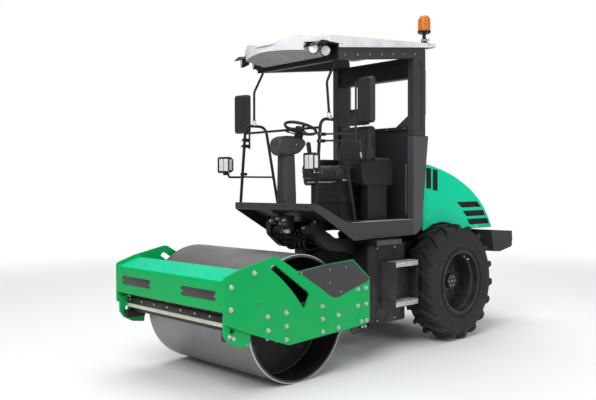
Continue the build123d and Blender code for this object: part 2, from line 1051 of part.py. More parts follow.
def make_bulkhead():
    """Wall behind the seat with its top ledge and two pressed ribs."""
    y0 = front(wall_front) + bulkhead_back
    y1 = y0 + bulkhead_wall
    wall = block(-pillar_inner, pillar_inner, y0, y1, floor_level - 130, bulkhead_top)
    ledge_front, ledge_rear = y0 - 25, front(1850)
    ledge = block(-pillar_inner, pillar_inner, ledge_front, ledge_rear, bulkhead_top, bulkhead_top + ledge_wall)
    foot = block(-pillar_inner, pillar_inner, front(wall_front), y0, floor_level - 30, floor_level)
    ribs = []
    for x in (-pillar_inner + 40, pillar_inner - 60):
        rib = block(x, x + 20, y0 - 12, y0 + 1, floor_level + 50, bulkhead_top - 340)
        ribs.append(fillet(rib.edges().filter_by(Axis.Z).group_by(Axis.Y)[0], 6))
    return joined([wall, ledge, foot] + ribs)


def roof_top(y):
    """Height of the roof's upper face over a place counted from the drum."""
    slope = (roof_rear_top - roof_front_top) / (roof_rear - roof_front)
    return roof_front_top + slope * (y - roof_front)


def roof_underside(y):
    """Height of the inner face of the roof skin."""
    return roof_top(y) - roof_wall


def skirt_edge(y):
    """Height of the roof skirt's lower edge."""
    return skirt_front + skirt_slope * (y - visor_rear)


def make_post():
    """Left rollover post, with a pressed groove, its roof rail and gusset."""
    post_rear = wall_front + post_depth
    post = side_shape(
        [
            (wall_front, seam_height, 0),
            (wall_front, skirt_edge(wall_front) - rail_depth, 0),
            (rail_front, skirt_edge(rail_front) - rail_depth, 0),
            (rail_front, roof_underside(rail_front) - seat_gap, 0),
            (post_rear - 60, roof_underside(post_rear - 60) - seat_gap, 0),
            (post_rear, skirt_edge(post_rear) - 20, post_corner),
            (post_rear, seam_height, 0),
        ],
        pillar_inner,
        platform_half,
    )
    middle = front(wall_front + post_depth / 2)
    low, high = seam_height + 115, rops_beam_high - 40
    depth = platform_half - groove_depth
    out = platform_half + tool_reach
    groove = block(depth, out, middle - groove_radius, middle + groove_radius, low, high)
    groove += rod((depth, middle, low), (out, middle, low), groove_radius)
    groove += rod((depth, middle, high), (out, middle, high), groove_radius)
    x = platform_half - pillar_width / 2
    back = front(post_rear)
    handle = bent_bar(
        [
            (x, back - 5, 2230),
            (x, back + 48, 2250),
            (x, back + 48, 2690),
            (x, back - 5, 2710),
        ],
        bar_radius,
        30,
    )
    return post - groove + handle


def make_rops():
    """Rollover frame: two posts with rails, rear and front cross beams."""
    post = make_post()
    inner = pillar_inner + tool_reach
    y0 = front(wall_front) + 20
    y1 = front(wall_front + post_depth) - 60
    beam = block(-inner, inner, y0, y1, rops_beam_low, rops_beam_high)
    beam = chamfer(beam.edges().filter_by(Axis.X).group_by(Axis.Z)[0], 12)
    strip = block(-inner, inner, y0 + 12, y0 + 24, rops_beam_high - 1, rops_beam_high + 55)
    y2 = front(rail_front)
    low = skirt_edge(rail_front) - rail_depth
    header = block(-inner, inner, y2, y2 + 50, low, low + 60)
    gusset = make_face(Polyline([
        (pillar_inner + 1, y0, bulkhead_top + ledge_wall),
        (pillar_inner + 1 - gusset_length, y0, bulkhead_top + ledge_wall),
        (pillar_inner + 1, y0, bulkhead_top + ledge_wall + gusset_height),
    ], close=True))
    gusset = extrude(gusset, amount=gusset_wall, dir=(0, 1, 0))
    return joined([post, mirrored(post), beam, strip, header, gusset, mirrored(gusset)])


def make_roof():
    """Moulded roof shell with a bowed visor and a raised middle panel."""
    rear_top = roof_top(roof_rear)
    hollow_end = roof_rear - 4 * roof_wall
    shell = side_shape(
        [
            (roof_front, visor_edge, 10),
            (roof_front + 22, roof_top(roof_front + 22), 20),
            (roof_rear - 30, roof_top(roof_rear - 30), 0),
            (roof_rear, rear_top - 20, 0),
            (roof_rear, skirt_edge(roof_rear), 0),
            (visor_rear + 20, skirt_edge(visor_rear + 20), 0),
            (visor_rear, visor_low, 8),
        ],
        -roof_half,
        roof_half,
    )
    panel = side_shape(
        [
            (roof_front, roof_top(roof_front) - 30, 0),
            (roof_front + 30, roof_top(roof_front + 30) + panel_rise, 40),
            (roof_rear - 150, roof_top(roof_rear - 150) + panel_rise, 0),
            (roof_rear - 100, roof_top(roof_rear - 100) - 5, 0),
        ],
        -panel_half,
        panel_half,
    )
    hollow = side_shape(
        [
            (visor_rear + 20, skirt_edge(visor_rear + 20) - 80, 0),
            (visor_rear + 20, roof_underside(visor_rear + 20), 0),
            (hollow_end, roof_underside(hollow_end), 0),
            (hollow_end, skirt_edge(roof_rear) - 80, 0),
        ],
        -roof_half + roof_wall,
        roof_half - roof_wall,
    )
    z0, z1 = visor_low - 50, rear_top + 100
    ends = [(side * roof_half, front(roof_front + roof_bow), z0) for side in (-1, 1)]
    nose = ThreePointArc(ends[0], (0, front(roof_front), z0), ends[1])
    back = Polyline(ends[1], (roof_half, front(roof_rear), z0), (-roof_half, front(roof_rear), z0), ends[0])
    plan = extrude(make_face(nose + back), amount=z1 - z0, dir=(0, 0, 1))
    plan = fillet(plan.edges().filter_by(Axis.Z).group_by(Axis.Y)[-1], 50)
    return ((shell + panel) & plan) - hollow - both_sides(make_lamp_pocket())


def make_lamp_pocket():
    """Space cut from the visor's corner for the twin lamps, left side."""
    return block(lamp_inner - seat_gap, roof_half + 1, front(roof_front), front(lamp_rear) + seat_gap,
                 visor_low - 60, lamp_cover_top + seat_gap)


def both_sides(shape):
    """A cutting body joined with its mirror image."""
    return shape + mirrored(shape)


# Lamps, mirrors and rails


def round_lamp():
    """Round lamp that looks along -Y, with a bezel and a rounded back."""
    bowl = turned([
        (0, 0),
        (0, lamp_radius),
        (-14, lamp_radius),
        (-lamp_depth, lamp_radius * 0.4),
        (-lamp_depth, 0),
    ])
    return Rot(0, 0, -90) * bowl


def make_roof_light():
    """Twin lamps under a curved cover at the roof's front corner, left side."""
    x = (lamp_inner + lamp_outer) / 2
    cover = side_shape(
        [
            (lamp_front - 30, lamp_height + 22, 0),
            (lamp_front + 20, lamp_cover_top, 50),
            (lamp_rear, lamp_cover_top, 0),
            (lamp_rear, lamp_height - 40, 10),
            (lamp_rear - 10, lamp_height - 40, 0),
            (lamp_rear - 10, lamp_cover_top - 8, 0),
            (lamp_front + 26, lamp_cover_top - 8, 40),
            (lamp_front - 24, lamp_height + 18, 0),
        ],
        lamp_inner,
        lamp_outer,
    )
    parts = [cover]
    for place in (lamp_front, lamp_front + 145):
        lamp = Pos(x + 8, front(place), lamp_height) * Rot(0, 0, lamp_turn) * round_lamp()
        parts.append(lamp)
        stem_y = front(place) + lamp_depth * 0.5
        parts.append(rod((x - 10, stem_y, lamp_height + 10), (x - 10, stem_y, lamp_cover_top - 4), 12))
    return joined(parts)


def leg_front(z):
    """Lengthwise place of the hoop's front leg at a height."""
    foot = floor_level + nose_rise - nose_lip
    return hoop_foot_front + (hoop_peak_front - hoop_foot_front) * (z - foot) / (hoop_top - foot)


def leg_rear(z):
    """Lengthwise place of the hoop's rear leg at a height."""
    foot = floor_level - 40
    return hoop_foot_rear + (hoop_peak_rear - hoop_foot_rear) * (z - foot) / (hoop_top - foot)


def make_rails():
    """Two hoops at the platform's front corners and the rails that join them."""
    pieces = []
    for side in (-1, 1):
        x = side * hoop_half
        foot = floor_level + nose_rise - nose_lip
        pieces.append(bent_bar(
            [
                (x, front(hoop_foot_front), foot),
                (x, front(hoop_peak_front), hoop_top),
                (x, front(hoop_peak_rear), hoop_top),
                (x, front(hoop_foot_rear), floor_level - 40),
            ],
            rail_radius,
            hoop_bend,
        ))
        z = hoop_bar_height
        pieces.append(rod((x, front(leg_front(z)), z), (x, front(leg_rear(z)), z), bar_radius))
    z = cross_rail_height
    y = front(leg_front(z))
    pieces.append(rod((-hoop_half, y, z), (hoop_half, y, z), cross_rail_radius))
    return joined(pieces) - make_pan_block()


def make_stay():
    """Bent tube from a hoop's top up to the roof's header, left side."""
    foot = hoop_top + rail_radius + 1
    header = skirt_edge(rail_front) - rail_depth
    points = [
        (hoop_half, front(545), foot),
        (hoop_half - 17, front(533), 2445),
        (480, front(rail_front + 20), header - stay_lean * cross_rail_radius - seat_gap),
    ]
    socket = rod((hoop_half, front(545), foot), (hoop_half - 2, front(543.6), foot + 46), 17)
    return bent_bar(points, cross_rail_radius, 60) + socket


def make_mirror():
    """Outside mirror on two bent rods clamped to the hoop, left side."""
    half = mirror_width / 2
    y = front(mirror_y)
    shell = block(-half, half, 0, mirror_depth, -mirror_height / 2, mirror_height / 2)
    shell = fillet(shell.edges().filter_by(Axis.Y), 30)
    shell = chamfer(shell.faces().sort_by(Axis.Y)[0].edges(), 14)
    head = Pos(mirror_x + half + 14, y - mirror_depth / 2, mirror_centre) * Rot(0, 0, -8) * shell
    pole = rod((mirror_x, y, mirror_rod_low - 15), (mirror_x, y, mirror_centre + 170), bar_radius)
    parts = [head, pole]
    for z in (mirror_centre - 120, mirror_centre + 120):
        parts.append(rod((mirror_x, y, z), (mirror_x + 40, y, z), 7))
    for z in (mirror_rod_low, mirror_rod_high):
        start = hoop_half + rail_radius + seat_gap
        y_leg = front(leg_front(z))
        parts.append(bent_bar(
            [(start, y_leg, z), (start + 70, y_leg, z), (mirror_x, y, z)], 8, 40,
        ))
        parts.append(block(start, start + 16, y_leg - 15, y_leg + 15, z - 14, z + 14))
    return joined(parts)


def make_work_light():
    """Square work lamp on an arm in front of the guard hoop, left side."""
    half = work_light_size / 2
    bezel = block(-half, half, -35, -8, -half, half)
    bezel = fillet(bezel.edges().filter_by(Axis.Y), 14)
    bezel -= block(-half + 9, half - 9, -36, -30, -half + 9, half - 9)
    core = block(-half + 8, half - 8, -9, 40, -half + 8, half - 8)
    core = chamfer(core.faces().sort_by(Axis.Y)[-1].edges(), 26)
    turn = Pos(work_light_x, front(work_light_y), work_light_z) * Rot(0, 0, -8)
    lamp = turn * (bezel + core)
    yoke = rod((work_light_x, front(280), 1690), (work_light_x, front(300), 1640), 10)
    z = 1640.0
    y_leg = front(leg_front(z))
    arm = bent_bar(
        [
            (work_light_x, front(296), z),
            (work_light_x, y_leg, z),
            (hoop_half + rail_radius + seat_gap, y_leg, z),
        ],
        10,
        20,
    )
    return joined([lamp, yoke, arm])


def make_beacon():
    """Flashing lamp on its stem at the roof's rear left corner."""
    base = roof_top(beacon_back)
    sunk = 30.0
    profile = [
        (-sunk, 0),
        (-sunk, 60),
        (10, 60),
        (14, 30),
        (60, 26),
        (62, 17),
        (100, 17),
        (108, 58),
        (124, 66),
        (132, beacon_radius),
        (beacon_height - 50, beacon_radius - 2),
        (beacon_height - 22, beacon_radius - 12),
        (beacon_height - 6, beacon_radius - 34),
        (beacon_height, 0),
    ]
    body = revolve(make_face(Polyline([(r, 0, z) for z, r in profile], close=True)), Axis.Z)
    body = Pos(beacon_x, front(beacon_back), base) * body
    below = [
        (beacon_back - 100, roof_top(beacon_back - 100), 0),
        (beacon_back + 75, roof_top(beacon_back + 75), 0),
        (beacon_back + 75, base - 90, 0),
        (beacon_back - 100, base - 90, 0),
    ]
    return body - side_shape(below, beacon_x - 80, beacon_x + 80)


# Operator's place


def make_seat_base():
    """Sprung seat stand on the floor, with a bellows."""
    y0, y1 = front(seat_centre - 200), front(seat_centre + 220)
    top = floor_level + seat_base_height
    base = [block(-210, 210, y0, y1, floor_level, floor_level + 50)]
    fold = (seat_base_height - 90) / 5
    for index in range(5):
        z0 = floor_level + 50 + fold * index
        inset = 30 if index % 2 == 0 else 46
        base.append(block(-210 + inset, 210 - inset, y0 + inset, y1 - inset, z0 - 1, z0 + fold))
    base.append(block(-220, 220, y0, y1, top - 40, top))
    return joined(base)


def make_cushion():
    """Seat cushion as a plain closed pad with a rounded front."""
    z0 = floor_level + seat_base_height + seat_gap
    rear_edge = seat_centre + 190
    pad = side_shape(
        [
            (rear_edge - cushion_length, z0, 20),
            (rear_edge - cushion_length, z0 + cushion_depth - 10, 55),
            (rear_edge, z0 + cushion_depth - 20, 10),
            (rear_edge, z0, 0),
        ],
        -seat_half,
        seat_half,
    )
    return pad


def make_back():
    """Backrest and headrest as one padded body."""
    z0 = floor_level + seat_base_height + cushion_depth - back_lap
    y = seat_centre + 190 + seat_gap
    top = z0 + back_height
    half = seat_half - 20
    back = side_shape(
        [
            (y, z0, 0),
            (y + 90, z0, 30),
            (y + 150, top - 30, 30),
            (y + 125, top, 20),
            (y + 62, top, 25),
            (y + 28, z0 + back_height / 2, 200),
        ],
        -half,
        half,
    )
    width = make_face(FilletPolyline(
        (-half, front(y) - 20, z0),
        (half, front(y) - 20, z0),
        (half, front(y) - 20, z0 + back_height / 2),
        (half - 45, front(y) - 20, top),
        (-half + 45, front(y) - 20, top),
        (-half, front(y) - 20, z0 + back_height / 2),
        radius=[0, 0, 80, 50, 50, 80],
        close=True,
    ))
    back = back & extrude(width, amount=200, dir=(0, 1, 0))
    head = side_shape(
        [
            (y + 58, top - 5, 0),
            (y + 52, top + headrest_height, 30),
            (y + 122, top + headrest_height, 35),
            (y + 132, top - 5, 0),
        ],
        -130,
        130,
    )
    return back + head


def make_side_console(side):
    """Sloping armrest box with a drive lever beside the seat."""
    x0, x1 = sorted((side * console_inner, side * console_outer))
    start, end = seat_centre - 130, seat_centre + 330
    top = floor_level + console_height
    body = side_shape(
        [
            (start + 70, floor_level, 0),
            (start + 40, top - 120, 30),
            (start, top - 70, 15),
            (start + 20, top - 10, 30),
            (start + 200, top + 10, 40),
            (end, top, 30),
            (end, floor_level, 0),
        ],
        x0,
        x1,
    )
    body = chamfer(body.edges().filter_by(lambda edge: edge.center().Z > top - 40), 8)
    x = (x0 + x1) / 2
    y = front(start + 60)
    lever = rod((x, y + 20, top - 20), (x, y - 10, top + 105), 10)
    grip = rod((x, y - 8, top + 95), (x, y - 18, top + 160), 22)
    return joined([body, lever, chamfer(grip.edges(), 6)])


def make_steering_console():
    """Ribbed column and rounded instrument pod in front of the operator."""
    pod_top = wheel_height - 75
    pod_low = pod_top - 190
    column = side_shape(
        [
            (395, floor_level + 130, 0),
            (600, floor_level + 60, 0),
            (612, floor_level + 200, 40),
            (570, pod_low + 60, 0),
            (425, pod_low + 60, 0),
            (388, floor_level + 200, 60),
        ],
        -column_half,
        column_half,
    )
    column = chamfer(column.edges().filter_by(lambda edge: abs(edge.center().X) > column_half - 1), 12)
    ribs = []
    for x in (-60, -20, 20, 60):
        ribs.append(side_shape(
            [
                (384, floor_level + 220, 0),
                (412, pod_low + 20, 0),
                (440, pod_low + 20, 0),
                (440, floor_level + 220, 0),
            ],
            x - 8,
            x + 8,
        ))
    pod = side_shape(
        [
            (325, pod_low + 78, 50),
            (360, pod_low + 18, 45),
            (450, pod_low, 60),
            (620, pod_low + 30, 40),
            (706, pod_low + 110, 30),
            (690, pod_low + 158, 25),
            (430, pod_top, 90),
            (345, pod_top - 40, 60),
        ],
        -pod_half,
        pod_half,
    )
    pod = chamfer(pod.edges().filter_by(lambda edge: abs(edge.center().X) > pod_half - 1), pod_bevel)
    body = joined([column, pod] + ribs) - make_pan_block()
    tilt = Pos(0, front(wheel_back), wheel_height) * Rot(-wheel_tilt, 0, 0)
    bore = Cylinder(wheel_shaft_radius + pin_gap, wheel_shaft_length + 30)
    return body - tilt * Pos(0, 0, -wheel_shaft_length / 2 - 15) * bore


def make_steering_wheel():
    """Rim, three spokes, hub and shaft, tilted to the operator."""
    wall = wheel_rim_wall
    section = RegularPolygon(wall, 8)
    rim = revolve(Plane.XZ * Pos(wheel_rim_radius, 0) * section, Axis.Z)
    parts = [rim, Pos(0, 0, -6) * Cylinder(38, 34)]
    for turn in (90, 210, 330):
        spoke = Pos(wheel_rim_radius / 2, 0, -3) * Box(wheel_rim_radius, 26, 12)
        parts.append(Rot(0, 0, turn) * spoke)
    shaft = Cylinder(wheel_shaft_radius, wheel_shaft_length)
    parts.append(Pos(0, 0, -wheel_shaft_length / 2) * shaft)
    return Pos(0, front(wheel_back), wheel_height) * Rot(-wheel_tilt, 0, 0) * joined(parts)


# Hood, grilles, counterweight and engine


def hood_hinge():
    """Place of the hood's hinge line in y and z."""
    return front(hood_front) - hood_hinge_lead, hood_top - hood_hinge_drop


def hood_curve(x, grow):
    """Hood's top line over one wall, moved inward by grow."""
    points = [
        (x, front(hood_front) + grow, hood_top - grow),
        (x, rear(145) - grow * 0.3, 1690 - grow),
        (x, rear(525) - grow * 0.6, 1528 - grow * 0.8),
        (x, rear(765) - grow * 0.8, 1330 - grow * 0.6),
        (x, rear(hood_length_behind) - grow, hood_low),
    ]
    curve, heading = [], (0, 1, -hood_fall)
    for start, end in zip(points, points[1:]):
        arc = TangentArc(start, end, tangent=heading)
        curve.append(arc)
        heading = arc % 1
    return Curve() + curve


def hood_solid(grow):
    """Hood's rounded outer form, moved inward by grow."""
    half = hood_half - grow
    y0 = front(hood_front) + grow
    curve = hood_curve(-half, grow)
    arch_top = tyre_radius * 2 + hood_arch_gap
    corners = Polyline(
        (-half, rear(hood_length_behind) - grow, hood_low),
        (-half, rear(525), hood_low),
        (-half, rear(200), arch_top),
        (-half, y0, arch_top),
        (-half, y0, hood_top - grow),
    )
    solid = extrude(make_face(curve + corners), amount=2 * half, dir=(1, 0, 0))
    edges = solid.edges().filter_by(GeomType.CIRCLE)
    return fillet(edges, hood_shoulder - grow)


def grille_windows():
    """Outlines of the hood's vents, in y from the drum, and z."""
    windows = [
        [(1962, 1545), (1962, 1728), (2004, 1716), (2004, 1540)],
        [(2034, 1536), (2034, 1708), (2104, 1686), (2104, 1526)],
    ]
    for start, end, z in ((2440, 2872, 1352), (2568, 2962, 1252), (2668, 3030, 1152)):
        windows.append([(start, z + 62), (end - 22, z + 62), (end, z), (start + 38, z)])
    return windows


def make_hood():
    """One-piece engine hood with vents, open below and towards the platform."""
    hood = hood_solid(0) - hood_solid(hood_wall)
    inner = hood_half - hood_wall
    arch_top = tyre_radius * 2 + hood_arch_gap
    y0, y1 = front(hood_front), rear(hood_length_behind) - hood_wall
    hood -= block(-inner, inner, y0 + 30, y1 - 20, hood_low - 5, arch_top + 5)
    hood -= block(-inner, inner, y0 - 1, y0 + 40, hood_low - 5, hood_top - 85)
    for window in grille_windows():
        cut = side_shape([(y, z, 0) for y, z in window], hood_half - 2 * hood_wall, hood_half + 1)
        hood -= both_sides(cut)
    y, z = hood_hinge()
    for side in (-1, 1):
        wall = sorted((side * (hood_half - hood_wall), side * hood_half))
        lug = rod((wall[0], y, z), (wall[1], y, z), hood_lug_radius)
        lug += block(*wall, y, y0 + 18, z - hood_shoulder - 10, z + 5)
        hood += lug
        hood -= rod((wall[0] - 1, y, z), (wall[1] + 1, y, z), hood_hinge_radius)
    return hood


def make_grille(window):
    """One louvred vent: a frame with slats set in the hood's opening."""
    gap = seat_gap
    middle_y = sum(y for y, z in window) / 4
    middle_z = sum(z for y, z in window) / 4

    def pulled(amount):
        corners = []
        for y, z in window:
            reach = math.hypot(y - middle_y, z - middle_z)
            keep = 1 - amount / reach
            corners.append((middle_y + (y - middle_y) * keep, middle_z + (z - middle_z) * keep, 0))
        return corners

    x0, x1 = hood_half - hood_wall, hood_half - 2
    frame = side_shape(pulled(gap * 2), x0, x1)
    opening = side_shape(pulled(14), x0 - 1, x1 + 1)
    slats = []
    low = min(z for y, z in window)
    high = max(z for y, z in window)
    start = min(y for y, z in window)
    end = max(y for y, z in window)
    upright = high - low > end - start
    room = (end - start) if upright else (high - low)
    count = max(int(room // slat_pitch), 1)
    for index in range(count):
        place = (index + 0.5) * room / count - slat_wall / 2
        if upright:
            y = front(start + place)
            slats.append(block(x0, x0 + 5, y, y + slat_wall, low, high))
        else:
            z = low + place
            slats.append(block(x0, x0 + 5, front(start), front(end), z, z + slat_wall))
    louvre = [slat & side_shape(pulled(4), x0 - 1, x1 + 1) for slat in slats]
    return joined([frame - opening] + louvre)


def make_grilles():
    """All ten louvred vents of the hood."""
    grilles = []
    for window in grille_windows():
        grille = make_grille(window)
        grilles += [grille, mirrored(grille)]
    return Compound(grilles)


def make_counterweight():
    """Cast rear bumper, rounded in plan, with its mounting boss."""
    back = rear_overhang
    weight = side_shape(
        [
            (back - weight_length, 1071, 0),
            (back - 45, 1044, 30),
            (back, 1012, 15),
            (back, 905, 30),
            (back - 88, 868, 60),
            (back - 322, 828, 0),
            (back - 446, 837, 0),
        ],
        -weight_half - tool_reach,
        weight_half + tool_reach,
        rear,
    )
    seat = rear(back - weight_length)
    end = rear(back)
    plan = top_shape(
        [
            (-weight_half, seat - tool_reach, 0),
            (-weight_half, end + tool_reach, weight_corner),
            (weight_half, end + tool_reach, weight_corner),
            (weight_half, seat - tool_reach, 0),
        ],
        800,
        1100,
    )
    boss = block(-chassis_half, chassis_half, seat, seat + 100, 838, 1070)
    return (weight & plan) + boss


def make_engine():
    """Engine as one plain block."""
    return block(-chassis_inner, chassis_inner, rear(-180), rear(560), 760, 1400)


PIECES = {
    "drum": make_drum,
    "drum_carriers": lambda: both(make_carrier()),
    "side_plate_left": make_side_plate,
    "side_plate_right": lambda: mirrored(make_side_plate()),
    "front_crossmember": make_front_crossmember,
    "rear_crossmember": make_rear_crossmember,
    "front_scraper": make_front_scraper,
    "rear_scraper": make_rear_scraper,
    "tie_down_tabs": lambda: both(make_tie_tab()),
    "knuckle": make_knuckle,
    "steering_barrel": make_barrel,
    "steering_rod": make_rod,
    "chassis": make_chassis,
    "rear_axle": make_axle,
    "engine_block": make_engine,
    "counterweight": make_counterweight,
    "tank_left": make_tank,
    "tank_right": lambda: mirrored(make_tank()),
    "steps_left": make_steps,
    "steps_right": lambda: mirrored(make_steps()),
    "rim_left": make_rim,
    "rim_right": lambda: mirrored(make_rim()),
    "tyre_left": make_tyre,
    "tyre_right": lambda: mirrored(make_tyre()),
    "floor_pan": make_floor,
    "pillar_left": make_pillar,
    "pillar_right": lambda: mirrored(make_pillar()),
    "bulkhead": make_bulkhead,
    "rollover_frame": make_rops,
    "roof_shell": make_roof,
    "guard_rails": make_rails,
    "roof_stays": lambda: both(make_stay()),
    "mirrors": lambda: both(make_mirror()),
    "work_lights": lambda: both(make_work_light()),
    "roof_lights": lambda: both(make_roof_light()),
    "beacon": make_beacon,
    "seat_base": make_seat_base,
    "seat_cushion": make_cushion,
    "seat_back": make_back,
    "console_left": lambda: make_side_console(1),
    "console_right": lambda: make_side_console(-1),
    "steering_console": make_steering_console,
    "steering_wheel": make_steering_wheel,
    "hood": make_hood,
    "hood_grilles": make_grilles,
}

os.makedirs("parts", exist_ok=True)
for piece_name, maker in PIECES.items():
    save(piece_name, maker())
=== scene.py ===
"""Looks of the road roller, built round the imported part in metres."""
import math

import bmesh
import bpy
from mathutils import Matrix, Vector
from mathutils.geometry import tessellate_polygon


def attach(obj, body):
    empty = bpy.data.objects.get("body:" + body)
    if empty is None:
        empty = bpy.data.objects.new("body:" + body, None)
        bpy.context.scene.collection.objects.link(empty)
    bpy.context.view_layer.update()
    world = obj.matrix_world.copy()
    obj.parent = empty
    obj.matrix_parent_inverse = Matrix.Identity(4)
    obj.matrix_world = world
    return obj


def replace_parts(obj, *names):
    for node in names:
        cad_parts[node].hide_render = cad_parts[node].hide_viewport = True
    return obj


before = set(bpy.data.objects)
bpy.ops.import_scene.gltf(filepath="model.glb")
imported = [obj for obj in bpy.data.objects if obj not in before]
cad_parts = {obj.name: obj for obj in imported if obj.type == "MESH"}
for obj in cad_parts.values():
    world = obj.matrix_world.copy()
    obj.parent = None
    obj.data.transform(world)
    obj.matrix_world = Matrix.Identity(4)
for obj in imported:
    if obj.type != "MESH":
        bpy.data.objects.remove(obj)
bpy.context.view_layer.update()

# Places shared with the part's source, in millimetres from the drum's axle
DRUM_Y = -1345.0
DRUM_R = 510.0
PLATE = 755.0
AXLE = 2255.0
TYRE_R = 583.0
WHEEL_X = 550.0
LUGS = 18
FLOOR = 1230.0
PLATFORM_X = 537.0
HOOP_X = 500.0
MIDDLE_BAR = 1642.0
CROSS_RAIL = 2050.0
CONSOLE_X = 337.5
PIN_Y = 950.0
SHAFT_Z = 540.0
HOOD_X = 450.0
HOOD_WALL = 12.0

# Steering wheel: hub from the drum's axle, radius in metres and lean
WHEEL_HUB = (0, 680, 2085)
WHEEL_R = 0.147
WHEEL_TILT = math.radians(19)

LEFT, FRONT, UP = (1, 0, 0), (0, -1, 0), (0, 0, 1)


def at(x, y, z):
    """Point in metres from millimetres counted from the drum's axle."""
    return Vector((x / 1000, (y + DRUM_Y) / 1000, z / 1000))


def around(count, radius, start=0.0):
    """Points on a circle, as pairs; start shifts them by a share of a step."""
    turns = (2 * math.pi * (k + start) / count for k in range(count))
    return [(radius * math.cos(a), radius * math.sin(a)) for a in turns]


def srgb(r, g, b):
    """Linear colour from 0 to 255 screen values."""
    out = []
    for value in (r, g, b):
        c = value / 255
        out.append(c / 12.92 if c <= 0.04045 else ((c + 0.055) / 1.055) ** 2.4)
    return (*out, 1.0)


def grey(level, blue=0):
    """Neutral colour of a screen value, with a little more blue."""
    return srgb(level, level, level + blue)


# Material nets


class Net:
    """Node tree of one material with short ways to add nodes."""

    def __init__(self, name):
        self.mat = bpy.data.materials.new(name)
        self.mat.use_nodes = True
        self.tree = self.mat.node_tree
        self.tree.nodes.clear()
        self.out = self.node("OutputMaterial")
        self.bsdf = self.node("BsdfPrincipled")
        self.link(self.bsdf.outputs[0], self.out.inputs[0])
        self.coords = self.node("TexCoord").outputs["Object"]

    def node(self, kind, inputs=(), **values):
        """New shader node with its settings and the values of its sockets."""
        made = self.tree.nodes.new("ShaderNode" + kind)
        for key, value in values.items():
            setattr(made, key, value)
        for key, value in dict(inputs).items():
            made.inputs[key].default_value = value
        return made

    def link(self, source, target):
        self.tree.links.new(source, target)

    def fill(self, socket, value):
        """Socket from a number or colour, or from another node's output."""
        if isinstance(value, (int, float, tuple)):
            socket.default_value = value
        else:
            self.link(value, socket)

    def set(self, **values):
        for key, value in values.items():
            self.bsdf.inputs[key.replace("_", " ")].default_value = value

    def surface(self, colour, rough, normal):
        for key, value in (("Base Color", colour), ("Roughness", rough), ("Normal", normal)):
            self.link(value, self.bsdf.inputs[key])

    def texture(self, kind, inputs, output, coords=None, **values):
        made = self.node(kind, inputs, **values)
        self.link(coords or self.coords, made.inputs["Vector"])
        return made.outputs[output]

    def stretched(self, scale):
        return self.texture("Mapping", {"Scale": scale}, 0)

    def noise(self, scale, detail=3.0, rough=0.55, coords=None):
        inputs = {"Scale": scale, "Detail": detail, "Roughness": rough}
        return self.texture("TexNoise", inputs, "Fac", coords)

    def cells(self, scale, feature="F1"):
        return self.texture("TexVoronoi", {"Scale": scale}, "Distance", feature=feature)

    def wave(self, scale, direction):
        return self.texture("TexWave", {"Scale": scale}, "Fac", bands_direction=direction)

    def span(self, value, low, high, to_low=0.0, to_high=1.0, **values):
        made = self.node("MapRange", zip(range(1, 5), (low, high, to_low, to_high)), **values)
        self.link(value, made.inputs[0])
        return made.outputs[0]

    def maths(self, operation, *parts):
        """Parts worked out one after another, as in a * b * c."""
        total = parts[0]
        for part in parts[1:]:
            made = self.node("Math", operation=operation)
            self.fill(made.inputs[0], total)
            self.fill(made.inputs[1], part)
            total = made.outputs[0]
        return total

    def mix(self, fac, a, b):
        made = self.node("Mix", data_type="RGBA")
        self.link(fac, made.inputs[0])
        self.fill(made.inputs[6], a)
        self.fill(made.inputs[7], b)
        return made.outputs[2]

    def height(self):
        made = self.node("SeparateXYZ")
        self.link(self.coords, made.inputs[0])
        return made.outputs[2]

    def edge(self, radius=0.003):
        """Mask of sharp edges, and the normal rounded over them."""
        soft = self.node("Bevel", {"Radius": radius}, samples=4)
        dot = self.node("VectorMath", operation="DOT_PRODUCT")
        self.link(soft.outputs[0], dot.inputs[0])
        self.link(self.node("NewGeometry").outputs["Normal"], dot.inputs[1])
        return self.span(dot.outputs["Value"], 0.995, 0.9), soft.outputs[0]

    def bump(self, height, strength, distance, normal=None):
        made = self.node("Bump", {"Strength": strength, "Distance": distance})
        self.link(height, made.inputs["Height"])
        if normal:
            self.link(normal, made.inputs["Normal"])
        return made.outputs[0]


def tinted(colour, factor):
    return tuple(min(c * factor, 1.0) for c in colour[:3]) + (1.0,)


def paint(name, colour, rough=0.36, coat=0.08, peel=0.025, wear=0.5, dust=0.2, worn=None, shine=0.25):
    """Sprayed paint: slight tone drift, orange peel, lighter edges, dust low down."""
    net = Net(name)
    drift = net.span(net.noise(1.6, 4), 0.3, 0.7)
    body = net.mix(drift, tinted(colour, 0.93), tinted(colour, 1.06))
    edge, soft = net.edge()
    patch = net.span(net.noise(38, 5, 0.7), 0.42, 0.62)
    body = net.mix(net.maths("MULTIPLY", edge, patch, wear), body, worn or tinted(colour, 1.7))
    low = net.span(net.height(), 0.9, 0.25)
    cloud = net.span(net.noise(9, 6, 0.7), 0.4, 0.75)
    body = net.mix(net.maths("MULTIPLY", low, cloud, dust), body, srgb(128, 122, 112))
    gloss = net.span(net.noise(14, 4), 0.2, 0.8, rough - 0.05, rough + 0.09)
    net.surface(body, gloss, net.bump(net.noise(420, 2), peel, 0.0006, soft))
    net.set(Coat_Weight=coat, Coat_Roughness=0.12, Specular_IOR_Level=shine)
    return net.mat


